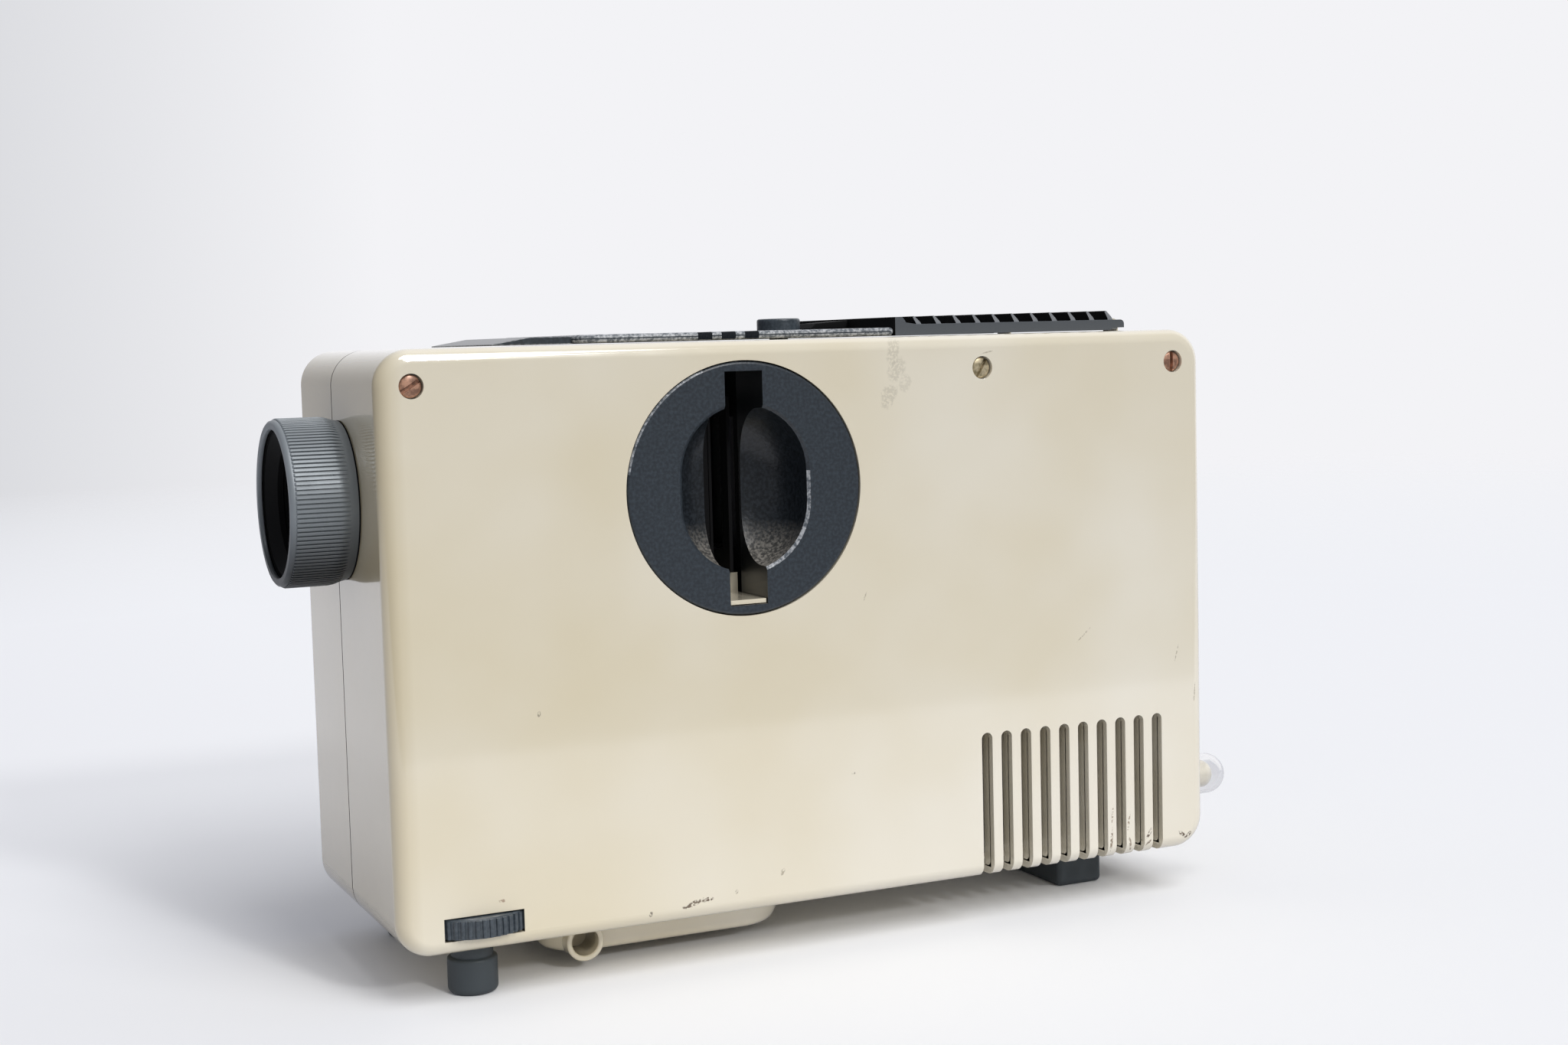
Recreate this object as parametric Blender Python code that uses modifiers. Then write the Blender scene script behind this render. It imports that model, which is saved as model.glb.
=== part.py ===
"""Compact slide projector with a transverse slide passage, as separate pieces.

Metres, +Z up. X runs along the optical axis and the lens looks towards -X.
The near half shell, with the slide port and the vents, faces -Y.
The origin is at the middle of the footprint, on the surface that the feet stand on.
"""
import math

import bmesh
import bpy
from mathutils import Matrix

# Case: two half shells that meet on a vertical seam
BODY_LENGTH = 0.255
BODY_WIDTH = 0.090
BODY_HEIGHT = 0.1595
WALL = 0.0025
CORNER_RADIUS = 0.0098
EDGE_FILLET = 0.0040
SEAM_OFF_CENTRE = 0.004
FOOT_CLEARANCE = 0.0138
GAP = 0.0003
OVERRUN = 0.003
BOND = 0.001

# Slide port: a round insert on each side, with a slot and a finger bowl
PORT_FROM_FRONT = 0.1024
PORT_FROM_TOP = 0.0407
PORT_RADIUS = 0.035
PORT_EDGE = 0.0006
SLOT_WIDTH = 0.0113
SLOT_HEIGHT = 0.0647
BOWL_WIDTH = 0.0377
BOWL_HEIGHT = 0.0459
BOWL_FLOOR = 0.0012
BOWL_ROUND = 0.0135

# Slide and gate; the ports fill what the gate's span leaves of the case's width
GATE_SPAN = 0.054
SLIDE_SIDE = 0.050
SLIDE_PASSAGE = 0.0050
GATE_WALL = 0.0030
SPRING_ROOM = 0.0012
APERTURE = 0.038
APERTURE_PLATE_THICKNESS = 0.0008
GATE_PLATE_WIDTH = 0.048
PRESSURE_PLATE_THICKNESS = 0.0010
PRESSURE_TRAVEL = 0.0012
SPRING_THICKNESS = 0.0004
SPRING_WIDTH = 0.0045
SPRING_LENGTH = 0.034
SPRING_TO_APERTURE = 0.00025
RAIL_SHELF = 0.0012
RAIL_STEP_BEHIND_PORT = 0.002

# Lens
AXIS_OFF_CENTRE = 0.0025
FOCUS_RADIUS = 0.023
FOCUS_LENGTH = 0.0165
FOCUS_TO_CASE = 0.0020
FOCUS_RIBS = 40
RIB_DEPTH = 0.0005
RIB_FRONT_MARGIN = 0.0022
RIB_REAR_MARGIN = 0.0026
BARREL_RADIUS = 0.02125
BARREL_WALL = 0.0012
BARREL_BEHIND_FACE = 0.054
RIM_LIP = 0.0029
RIM_DEPTH = 0.0012
BEZEL_DEPTH = 0.0046
LENS_RADIUS = 0.0152
BAFFLE_STEP = 0.0008
BAFFLE_PITCH = 0.0016
BAFFLE_COUNT = 3
FRONT_GLASS_THICKNESS = 0.0064
MIDDLE_GLASS_THICKNESS = 0.0040
REAR_GLASS_THICKNESS = 0.0058
GLASS_EDGE = 0.0016
MOUNT_WALL = 0.0024
MOUNT_LENGTH = 0.0330
MOUNT_TO_WHEEL = 0.0006
MOUNT_FOOT_THICKNESS = 0.006

# Focusing feet and thumbwheels
WHEEL_FROM_FRONT = 0.0233
WHEEL_FROM_SIDE = 0.0131
WHEEL_RADIUS = 0.0168
WHEEL_THICKNESS = 0.0054
WHEEL_ABOVE_BASE = 0.0043
WHEEL_RIBS = 36
WHEEL_RIB_DEPTH = 0.0006
WINDOW_MARGIN = 0.0004
FOOT_RADIUS = 0.0068
FOOT_HEIGHT = 0.0098
FOOT_ROUND = 0.0014
NECK_RADIUS = 0.0057
STEM_RADIUS = 0.0040
FOOT_TRAVEL = 0.012
BRIDGE_THICKNESS = 0.0050
BRIDGE_WIDTH = 0.012
BRIDGE_LEG_SHARES = (-0.265, 0.795)
REAR_FOOT_FROM_REAR = 0.0307
REAR_FOOT_LENGTH = 0.0162
REAR_FOOT_WIDTH = 0.042
REAR_FOOT_ROUND = 0.0022

# Belly pan and its sleeve
BELLY_FROM_FRONT = 0.0426
BELLY_LENGTH = 0.080
BELLY_FROM_SIDE = 0.017
BELLY_DEPTH = 0.0094
BELLY_SLOPE = 0.0052
BELLY_ROUND = 0.010
BELLY_EDGE = 0.0024
SLEEVE_RADIUS = 0.0054
SLEEVE_BORE_RADIUS = 0.0039
SLEEVE_FROM_SIDE = 0.0142
SLEEVE_FROM_BELLY = 0.0136

# Vents
VENT_COUNT = 10
VENT_FROM_REAR = 0.0792
VENT_PITCH = 0.00664
VENT_WIDTH = 0.0032
VENT_HEIGHT = 0.0429
VENT_UNDER = 0.018

# Case screws
SCREW_HEAD_RADIUS = 0.0030
SCREW_HEAD_THICKNESS = 0.0016
SCREW_SINK = 0.0008
SCREW_SHANK_RADIUS = 0.0015
SCREW_SLOT = 0.0009
SCREW_SLOT_DEPTH = 0.0008
BOSS_RADIUS = 0.0042
SCREW_FROM_TOP = 0.0096
FRONT_SCREW_FROM_FRONT = 0.0093
MIDDLE_SCREW_FROM_FRONT = 0.1781
REAR_SCREW_FROM_REAR = 0.0105

# Top deck
DECK_FROM_FRONT = 0.0360
DECK_RAMP = 0.0105
DECK_PAD_FROM_FRONT = 0.0585
DECK_HEIGHT = 0.0026
DECK_INSET = 0.0091
DECK_FRONT_INSET = 0.0155
DECK_EDGE = 0.0008
DECK_CORNER = 0.0060
GROOVE_WIDTH = 0.0043
GROOVE_PITCH = 0.0071
GROOVE_COUNT = 3
GROOVE_DEPTH = 0.0021
BUTTON_FROM_PORT = 0.0319
BUTTON_RADIUS = 0.00645
BUTTON_PROUD = 0.0036
BUTTON_TRAVEL = 0.0020
BUTTON_STEM_RADIUS = 0.0028
BUTTON_EDGE = 0.0005

# Lamp-house lid
LID_FROM_FRONT = 0.1546
LID_LENGTH = 0.0785
LID_PIN_RADIUS = 0.0010
LID_KNUCKLE = 0.0017
LID_INSET = 0.0090
LID_BAR_WIDTH = 0.0030
LID_HEIGHT = 0.0056
LID_WALL = 0.0012
LID_TO_DECK = 0.0024
TAB_WIDTH = 0.0120
TAB_LENGTH = 0.0125
TAB_TIP_HEIGHT = 0.0045
FIN_COUNT = 11
FIN_FROM_FRONT = 0.0064
FIN_PITCH = 0.00658
FIN_THICKNESS = 0.0012
FIN_LEAN = 0.0022
FIN_LOW = 0.0053
FIN_HIGH = 0.0061
EAR_WIDTH = 0.0027
EAR_RADIUS = 0.0018
PIN_CLEARANCE = 0.0002
OPENING_FROM_SIDE = 0.0165

# Light path behind the gate
LIGHT_RADIUS = 0.0220
CONDENSER_THICKNESS = 0.0105
CONDENSER_GAP = 0.0045
FILTER_THICKNESS = 0.0030
HOUSING_WALL = 0.0010
HOUSING_HALF = 0.0240
LAMP_FROM_GATE = 0.0680
BULB_RADIUS = 0.0058
BULB_HEIGHT = 0.0200
PINCH_HEIGHT = 0.0090
PINCH_WIDTH = 0.0100
PINCH_THICKNESS = 0.0034
LAMP_PIN_RADIUS = 0.0006
LAMP_PIN_LENGTH = 0.0075
LAMP_PIN_SPACING = 0.0064
SOCKET_SIDE = 0.0180
SOCKET_HEIGHT = 0.0120
REFLECTOR_RADIUS = 0.0200
REFLECTOR_CURVE = 0.0260
REFLECTOR_WALL = 0.0012
REFLECTOR_FROM_LAMP = 0.0185
LAMP_HOUSE_LENGTH = 0.0680
LAMP_HOUSE_WIDTH = 0.0640
LAMP_HOUSE_WALL = 0.0008
LAMP_HOUSE_CLEAR_TOP = 0.0150
CUTOUT_SIDE = 0.0090
CUTOUT_THICKNESS = 0.0040

# Fan
FAN_RADIUS = 0.0285
FAN_CLEARANCE = 0.0010
FAN_HEIGHT = 0.0120
FAN_ABOVE_BASE = 0.0400
FAN_BLADES = 7
FAN_BLADE_THICKNESS = 0.0010
FAN_BLADE_ANGLE = 38.0
HUB_RADIUS = 0.0090
SHROUD_PLATE = 0.0016
SHROUD_WALL = 0.0014
MOTOR_RADIUS = 0.0165
MOTOR_HEIGHT = 0.0240
MOTOR_SHAFT_RADIUS = 0.0015
POST_RADIUS = 0.0035

# Chassis and electrical pieces
CHASSIS_FROM_FRONT = 0.0430
CHASSIS_REAR_GAP = 0.0060
CHASSIS_INSET = 0.0060
CHASSIS_ABOVE_BASE = 0.0062
CHASSIS_THICKNESS = 0.0012
CORE_LENGTH = 0.0600
CORE_HEIGHT = 0.0500
CORE_STACK = 0.0300
CORE_LIMB = 0.0100
CORE_FROM_FRONT = 0.0480
COIL_OVERHANG = 0.0090
CLAMP_THICKNESS = 0.0012
CLAMP_FOOT = 0.0080
SWITCH_LENGTH = 0.0200
SWITCH_WIDTH = 0.0140
SWITCH_HEIGHT = 0.0085
TERMINAL_TO_LEG = 0.00675
TERMINAL_WIDTH = 0.0120
TERMINAL_HEIGHT = 0.0110
TERMINAL_WAYS = 5
TERMINAL_FROM_EDGE = 0.0015
INLET_WIDTH = 0.0170
INLET_HEIGHT = 0.0120
INLET_DEPTH = 0.0160
INLET_FLANGE = 0.0020
INLET_TO_BUMPER = 0.0009
INLET_ABOVE_BASE = 0.0260
INLET_PIN_RADIUS = 0.0012
INLET_PIN_SPACING = 0.0086
INLET_PIN_LENGTH = 0.0085

# Domed bumpers on the rear wall
BUMPER_RADIUS = 0.0069
BUMPER_REACH = 0.0162
BUMPER_WALL = 0.0014
BUMPER_FROM_SIDE = 0.0112
BUMPER_ABOVE_BASE = 0.0186
BUMPER_CORE_RADIUS = 0.0042

# Roundness of turned pieces
PORT_STEPS = 56
ROUND_STEPS = 32
SMALL_STEPS = 12
CORNER_STEPS = 5
SMOOTH_ANGLE = math.radians(32)
MERGE = 0.00001

# Places that follow from the sizes above
LENS_REACH = FOCUS_LENGTH + FOCUS_TO_CASE
FRONT_X = (LENS_REACH - BODY_LENGTH - BUMPER_REACH) / 2
REAR_X = FRONT_X + BODY_LENGTH
NEAR_Y = -BODY_WIDTH / 2
FAR_Y = BODY_WIDTH / 2
BASE_Z = FOOT_CLEARANCE
TOP_Z = BASE_Z + BODY_HEIGHT
SEAM_Y = SEAM_OFF_CENTRE
PORT_X = FRONT_X + PORT_FROM_FRONT
PORT_DEPTH = (BODY_WIDTH - GATE_SPAN) / 2
BOWL_DEPTH = PORT_DEPTH - BOWL_FLOOR
AXIS_Y = -AXIS_OFF_CENTRE
AXIS_Z = TOP_Z - PORT_FROM_TOP
WHEEL_X = FRONT_X + WHEEL_FROM_FRONT
WHEEL_PLACES = {"near": NEAR_Y + WHEEL_FROM_SIDE, "far": FAR_Y - WHEEL_FROM_SIDE}
FLOOR_Z = BASE_Z + WALL
CHASSIS_Z = BASE_Z + CHASSIS_ABOVE_BASE
CHASSIS_TOP = CHASSIS_Z + CHASSIS_THICKNESS
LAMP_X = PORT_X + LAMP_FROM_GATE
LAMP_Z = AXIS_Z
LID_X = FRONT_X + LID_FROM_FRONT
LID_PIN_X = LID_X + LID_LENGTH - LID_KNUCKLE
LID_PIN_Z = TOP_Z + GAP + LID_KNUCKLE
LAMP_HOUSE_START = LID_X + LID_KNUCKLE
LAMP_HOUSE_X = LAMP_HOUSE_START + LAMP_HOUSE_LENGTH / 2
FAN_X = LAMP_HOUSE_X + FAN_CLEARANCE
FAN_Z = BASE_Z + FAN_ABOVE_BASE
GATE_FRONT = SLIDE_PASSAGE / 2 + APERTURE_PLATE_THICKNESS + GAP
GATE_REAR = SLOT_WIDTH / 2 + SPRING_ROOM
GATE_HALF_HEIGHT = SLOT_HEIGHT / 2
HOUSING_FRONT = PORT_X + GATE_REAR + GATE_WALL + GAP
CASE_SCREWS = (
    (FRONT_X + FRONT_SCREW_FROM_FRONT, TOP_Z - SCREW_FROM_TOP, 32.0),
    (FRONT_X + MIDDLE_SCREW_FROM_FRONT, TOP_Z - SCREW_FROM_TOP, 58.0),
    (REAR_X - REAR_SCREW_FROM_REAR, TOP_Z - SCREW_FROM_TOP, 88.0),
)


for old in list(bpy.data.objects):
    bpy.data.objects.remove(old)
PARTS = bpy.data.collections.new("slide_projector")
CUTTERS = bpy.data.collections.new("slide_projector_cutters")
for collection in (PARTS, CUTTERS):
    bpy.context.scene.collection.children.link(collection)


# Materials: one Principled surface for each kind of finish
def linear(channel):
    """Turn one sRGB channel, 0 to 1, into linear light."""
    return channel / 12.92 if channel <= 0.04045 else ((channel + 0.055) / 1.055) ** 2.4


def material(name, hex_colour, roughness, metallic=0.0, transmission=0.0):
    surface = bpy.data.materials.new(name)
    surface.use_nodes = True
    shader = surface.node_tree.nodes["Principled BSDF"]
    channels = [linear(int(hex_colour[i:i + 2], 16) / 255) for i in (0, 2, 4)]
    shader.inputs["Base Color"].default_value = (*channels, 1.0)
    shader.inputs["Roughness"].default_value = roughness
    shader.inputs["Metallic"].default_value = metallic
    shader.inputs["Transmission Weight"].default_value = transmission
    surface.diffuse_color = (*channels, 1.0)
    return surface


BEIGE = material("beige_gloss_plastic", "DDD5BE", 0.25)
DARK = material("dark_grained_plastic", "2B3238", 0.5)
GREY_RUBBER = material("grey_rubber", "3C4246", 0.7)
BLACK = material("black_plastic", "1B1D1F", 0.4)
ANODISED = material("anodised_ring", "3A4147", 0.4, 0.6)
GLASS = material("optical_glass", "F4F8F8", 0.02, 0.0, 1.0)
FILTER_GLASS = material("heat_filter_glass", "CFE3DC", 0.03, 0.0, 1.0)
CLEAR = material("clear_plastic", "EEF0EE", 0.08, 0.0, 0.9)
STEEL = material("zinc_plated_steel", "B9BCBD", 0.35, 1.0)
COPPERY = material("tarnished_screw", "9C7B63", 0.4, 1.0)
MIRROR = material("reflector_mirror", "D8DADB", 0.06, 1.0)
CERAMIC = material("socket_ceramic", "E7E2D6", 0.5)
LAMINATION = material("core_lamination", "55575A", 0.45, 0.8)
COPPER = material("winding_tape", "C79B3A", 0.5)
SPRING_STEEL = material("spring_steel", "9FA3A6", 0.3, 1.0)


# Shape helpers: each returns an object in the parts collection
def add_object(name, mesh, surface, at=(0, 0, 0), turn=(0, 0, 0), collection=PARTS):
    mesh.materials.clear()
    mesh.materials.append(surface)
    made = bpy.data.objects.new(name, mesh)
    made.location = at
    made.rotation_euler = turn
    collection.objects.link(made)
    if collection is CUTTERS:
        made.hide_render = True
        made.display_type = "WIRE"
    return made


def finish_mesh(work, name):
    mesh = bpy.data.meshes.new(name)
    work.to_mesh(mesh)
    work.free()
    mesh.shade_smooth()
    mesh.set_sharp_from_angle(angle=SMOOTH_ANGLE)
    return mesh


def block(name, low, high, surface, origin=(0, 0, 0), collection=PARTS, edge=0.0, edge_steps=2):
    """A box between two corners, with all its edges rounded by edge."""
    work = bmesh.new()
    bmesh.ops.create_cube(work, size=1)
    size = [high[i] - low[i] for i in range(3)]
    centre = [(high[i] + low[i]) / 2 - origin[i] for i in range(3)]
    bmesh.ops.scale(work, vec=size, verts=work.verts)
    bmesh.ops.translate(work, vec=centre, verts=work.verts)
    if edge:
        bmesh.ops.bevel(work, geom=work.edges[:], offset=edge, segments=edge_steps,
                        profile=0.5, affect="EDGES")
    return add_object(name, finish_mesh(work, name), surface, origin, collection=collection)


TURNS = {"X": Matrix.Rotation(math.pi / 2, 4, "Y"), "Y": Matrix.Rotation(-math.pi / 2, 4, "X"),
         "Z": Matrix.Identity(4)}


def rod(name, radius, start, length, axis, surface, steps=SMALL_STEPS, collection=PARTS,
        edge=0.0, tip_radius=None):
    """A cylinder or cone from start, running by length along +axis."""
    work = bmesh.new()
    bmesh.ops.create_cone(work, cap_ends=True, segments=steps, radius1=radius,
                          radius2=radius if tip_radius is None else tip_radius, depth=length)
    if edge:
        rims = [e for e in work.edges if abs(e.verts[0].co.z - e.verts[1].co.z) < MERGE]
        bmesh.ops.bevel(work, geom=rims, offset=edge, segments=2, profile=0.5, affect="EDGES")
    bmesh.ops.translate(work, vec=(0, 0, length / 2), verts=work.verts)
    bmesh.ops.transform(work, matrix=TURNS[axis], verts=work.verts)
    return add_object(name, finish_mesh(work, name), surface, start, collection=collection)


TOWARDS_LENS = (0, -math.pi / 2, 0)


def turned(name, profile, surface, at, turn=(0, 0, 0), steps=ROUND_STEPS, closed=False,
           collection=PARTS):
    """A turned piece: (radius, height) points down the outer side, spun with Screw."""
    mesh = bpy.data.meshes.new(name)
    edges = [(i, i + 1) for i in range(len(profile) - 1)]
    if closed:
        edges.append((len(profile) - 1, 0))
    mesh.from_pydata([(r, 0, h) for r, h in profile], edges, [])
    made = add_object(name, mesh, surface, at, turn, collection)
    spin = made.modifiers.new("spin", "SCREW")
    spin.steps = spin.render_steps = steps
    spin.use_merge_vertices = True
    spin.merge_threshold = MERGE
    return made


def outline_plate(name, outlines, thickness, surface, at, turn=(0, 0, 0), collection=PARTS,
                  edge=0.0):
    """A flat plate from closed outlines (the first outside, the rest holes), centred on at."""
    curve = bpy.data.curves.new(name, "CURVE")
    curve.dimensions = "2D"
    curve.fill_mode = "BOTH"
    curve.extrude = thickness / 2 - edge
    curve.bevel_depth = edge
    curve.offset = -edge
    curve.bevel_resolution = 1
    for outline in outlines:
        spline = curve.splines.new("POLY")
        spline.points.add(len(outline) - 1)
        for point, (x, y) in zip(spline.points, outline):
            point.co = (x, y, 0, 1)
        spline.use_cyclic_u = True
    drawn = bpy.data.objects.new(name + "_outline", curve)
    bpy.context.scene.collection.objects.link(drawn)
    seen = drawn.evaluated_get(bpy.context.evaluated_depsgraph_get())
    mesh = bpy.data.meshes.new_from_object(seen)
    bpy.data.objects.remove(drawn)
    work = bmesh.new()
    work.from_mesh(mesh)
    bmesh.ops.remove_doubles(work, verts=work.verts, dist=MERGE)
    bmesh.ops.recalc_face_normals(work, faces=work.faces)
    work.to_mesh(mesh)
    work.free()
    mesh.name = name
    return add_object(name, mesh, surface, at, turn, collection)


UPRIGHT = (math.pi / 2, 0, 0)


def boolean(target, tool, operation):
    change = target.modifiers.new(tool.name, "BOOLEAN")
    change.operation = operation
    change.object = tool
    change.solver = "EXACT"
    return target


def cut(target, *tools):
    for tool in tools:
        boolean(target, tool, "DIFFERENCE")
    return target


def join(target, *tools):
    for tool in tools:
        boolean(target, tool, "UNION")
    return target


def tool_block(name, low, high, edge=0.0):
    return block(name, low, high, BLACK, collection=CUTTERS, edge=edge)


def tool_rod(name, radius, start, length, axis, steps=SMALL_STEPS, tip_radius=None):
    return rod(name, radius, start, length, axis, BLACK, steps, CUTTERS, tip_radius=tip_radius)


def arc(radius, first_degrees, last_degrees, count, centre=(0, 0)):
    """Points along an arc, both ends included."""
    step = (last_degrees - first_degrees) / (count - 1)
    angles = [math.radians(first_degrees + step * i) for i in range(count)]
    return [(centre[0] + radius * math.cos(a), centre[1] + radius * math.sin(a)) for a in angles]


def circle(radius, count=ROUND_STEPS, centre=(0, 0)):
    return arc(radius, 0, 360, count + 1, centre)[:-1]


def rectangle(half_width, half_height, centre=(0, 0)):
    return [(centre[0] + sx * half_width, centre[1] + sy * half_height)
            for sx, sy in ((-1, -1), (1, -1), (1, 1), (-1, 1))]


def ribbed_circle(radius, depth, ribs):
    """A round outline with square-cut ribs, four points to each rib."""
    points = []
    for i in range(ribs):
        for share, reach in ((0.02, radius), (0.48, radius), (0.58, radius - depth),
                             (0.92, radius - depth)):
            angle = 2 * math.pi * (i + share) / ribs
            points.append((reach * math.cos(angle), reach * math.sin(angle)))
    return points


def stadium(width, height, count=12):
    """An upright oval with straight sides."""
    radius = width / 2
    straight = height / 2 - radius
    return (arc(radius, 0, 180, count, (0, straight))
            + arc(radius, 180, 360, count, (0, -straight)))


# Half shells
def half_shell(name, outer_y, rim_y):
    """A tray with rounded corners, open at the seam, its wall grown inwards."""
    work = bmesh.new()
    bmesh.ops.create_cube(work, size=1)
    bmesh.ops.scale(work, vec=(BODY_LENGTH, abs(rim_y - outer_y), BODY_HEIGHT), verts=work.verts)
    centre = ((FRONT_X + REAR_X) / 2, (outer_y + rim_y) / 2, (BASE_Z + TOP_Z) / 2)
    bmesh.ops.translate(work, vec=centre, verts=work.verts)
    long_edges = [e for e in work.edges if abs(e.verts[0].co.y - e.verts[1].co.y) > MERGE]
    bmesh.ops.bevel(work, geom=long_edges, offset=CORNER_RADIUS, segments=CORNER_STEPS,
                    profile=0.5, affect="EDGES")
    outer_rim = [e for e in work.edges if all(abs(v.co.y - outer_y) < MERGE for v in e.verts)]
    bmesh.ops.bevel(work, geom=outer_rim, offset=EDGE_FILLET, segments=3, profile=0.5,
                    affect="EDGES")
    seam_face = max(work.faces, key=lambda f: f.calc_area() * (
        abs(f.calc_center_median().y - rim_y) < MERGE))
    bmesh.ops.delete(work, geom=[seam_face], context="FACES_ONLY")
    shell = add_object(name, finish_mesh(work, name), BEIGE)
    thicken = shell.modifiers.new("wall", "SOLIDIFY")
    thicken.thickness = WALL
    thicken.offset = -1
    thicken.use_even_offset = True
    return shell


def vent_cutter(outer_y, inward):
    """Ten slots with round tops, cut through the side and on under the edge."""
    radius = VENT_WIDTH / 2
    outlines = []
    for i in range(VENT_COUNT):
        x = REAR_X - VENT_FROM_REAR + i * VENT_PITCH + radius
        top = arc(radius, 0, 180, 5, (x, BASE_Z + VENT_HEIGHT - radius))
        outlines.append(top + [(x - radius, BASE_Z - OVERRUN), (x + radius, BASE_Z - OVERRUN)])
    depth = VENT_UNDER + OVERRUN
    centre_y = outer_y + inward * (VENT_UNDER - OVERRUN) / 2
    name = "near_vents" if inward > 0 else "far_vents"
    return outline_plate(name, outlines, depth, BLACK, (0, centre_y, 0), UPRIGHT, CUTTERS)


def boss_tools(label, outer_y, rim_y, places):
    """Round screw posts from the side wall to the seam."""
    low = min(outer_y, rim_y)
    start = low + (WALL - BOND if outer_y < rim_y else 0)
    length = abs(rim_y - outer_y) - WALL + BOND
    return [tool_rod(f"{label}_boss_{i}", BOSS_RADIUS, (x, start, z), length, "Y")
            for i, (x, z, _) in enumerate(places)]


def screw_hole_tools(label, head_y, inward, places, reach):
    """A sunk head and a clearance hole for each screw."""
    tools = []
    for i, (x, z, _) in enumerate(places):
        sink = SCREW_SINK + SCREW_HEAD_THICKNESS + GAP
        head_start = head_y - OVERRUN if inward > 0 else head_y - sink
        tools.append(tool_rod(f"{label}_sink_{i}", SCREW_HEAD_RADIUS + GAP, (x, head_start, z),
                              sink + OVERRUN, "Y"))
        hole_start = head_y if inward > 0 else head_y - reach
        tools.append(tool_rod(f"{label}_hole_{i}", SCREW_SHANK_RADIUS + GAP, (x, hole_start, z),
                              reach, "Y"))
    return tools


def front_hole_tool():
    return tool_rod("lens_hole", BARREL_RADIUS + 2 * GAP,
                    (FRONT_X - OVERRUN, AXIS_Y, AXIS_Z), WALL + 2 * OVERRUN, "X", ROUND_STEPS)


def shared_case_tools():
    """Openings that cross the seam, cut alike from both shells."""
    button_x = PORT_X + BUTTON_FROM_PORT
    opening = tool_block(
        "lamp_opening",
        (LAMP_HOUSE_START + LID_KNUCKLE, NEAR_Y + OPENING_FROM_SIDE, TOP_Z - WALL - OVERRUN),
        (LAMP_HOUSE_START + LAMP_HOUSE_LENGTH, FAR_Y - OPENING_FROM_SIDE, TOP_Z + OVERRUN))
    button_hole = tool_rod("button_hole", BUTTON_STEM_RADIUS + 2 * GAP,
                           (button_x, 0, TOP_Z - WALL - OVERRUN), WALL + 2 * OVERRUN, "Z")
    belly_way = tool_block(
        "belly_way",
        (FRONT_X + BELLY_FROM_FRONT + BELLY_ROUND, NEAR_Y + BELLY_FROM_SIDE + BELLY_ROUND,
         BASE_Z - OVERRUN),
        (FRONT_X + BELLY_FROM_FRONT + BELLY_LENGTH - BELLY_ROUND,
         FAR_Y - BELLY_FROM_SIDE - BELLY_ROUND, BASE_Z + WALL + OVERRUN))
    return [front_hole_tool(), opening, button_hole, belly_way]


def side_tools(label, outer_y, inward):
    """Cuts that each side has: port, thumbwheel window, foot hole, inlet and bumper seats."""
    start_y = outer_y - OVERRUN if inward > 0 else outer_y - WALL - OVERRUN
    port = tool_rod(f"{label}_port_hole", PORT_RADIUS + GAP, (PORT_X, start_y, AXIS_Z),
                    WALL + 2 * OVERRUN, "Y", PORT_STEPS)
    window_low = BASE_Z + WHEEL_ABOVE_BASE - WINDOW_MARGIN
    window = tool_rod(f"{label}_window", WHEEL_RADIUS + GAP,
                      (WHEEL_X, WHEEL_PLACES[label], window_low),
                      WHEEL_THICKNESS + 2 * WINDOW_MARGIN, "Z", ROUND_STEPS)
    foot_hole = tool_rod(f"{label}_foot_hole", NECK_RADIUS + 2 * GAP,
                         (WHEEL_X, WHEEL_PLACES[label], BASE_Z - OVERRUN), WALL + 2 * OVERRUN, "Z")
    return [port, window, foot_hole]


def ear(label, outer_y, inward):
    """The lug that holds the lid's hinge pin."""
    inner = outer_y + inward * (LID_INSET + LID_BAR_WIDTH + GAP)
    outer = inner + inward * EAR_WIDTH
    low_y = min(inner, outer)
    root = tool_block(f"{label}_ear_root", (LID_PIN_X - EAR_RADIUS, low_y, TOP_Z - WALL + BOND),
                      (LID_PIN_X + EAR_RADIUS, low_y + EAR_WIDTH, LID_PIN_Z))
    eye = tool_rod(f"{label}_ear_eye", EAR_RADIUS, (LID_PIN_X, low_y, LID_PIN_Z), EAR_WIDTH, "Y")
    return root, eye


def pin_hole_tool(label, outer_y, inward):
    first = outer_y + inward * (LID_INSET - OVERRUN)
    length = LID_BAR_WIDTH + EAR_WIDTH + 2 * OVERRUN
    start = first if inward > 0 else first - length
    return tool_rod(f"{label}_pin_hole", LID_PIN_RADIUS + PIN_CLEARANCE,
                    (LID_PIN_X, start, LID_PIN_Z),
                    length, "Y")


def chassis_posts(label, rim_y, outer_y):
    """Short posts under the chassis plate, two to each shell."""
    shares = (0.12, 0.88)
    length = REAR_X - CHASSIS_REAR_GAP - FRONT_X - CHASSIS_FROM_FRONT
    y = (rim_y + outer_y) / 2
    return [tool_rod(f"{label}_post_{i}", POST_RADIUS,
                     (FRONT_X + CHASSIS_FROM_FRONT + share * length, y, BASE_Z + WALL - BOND),
                     CHASSIS_ABOVE_BASE - WALL + BOND - GAP, "Z")
            for i, share in enumerate(shares)]


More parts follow.
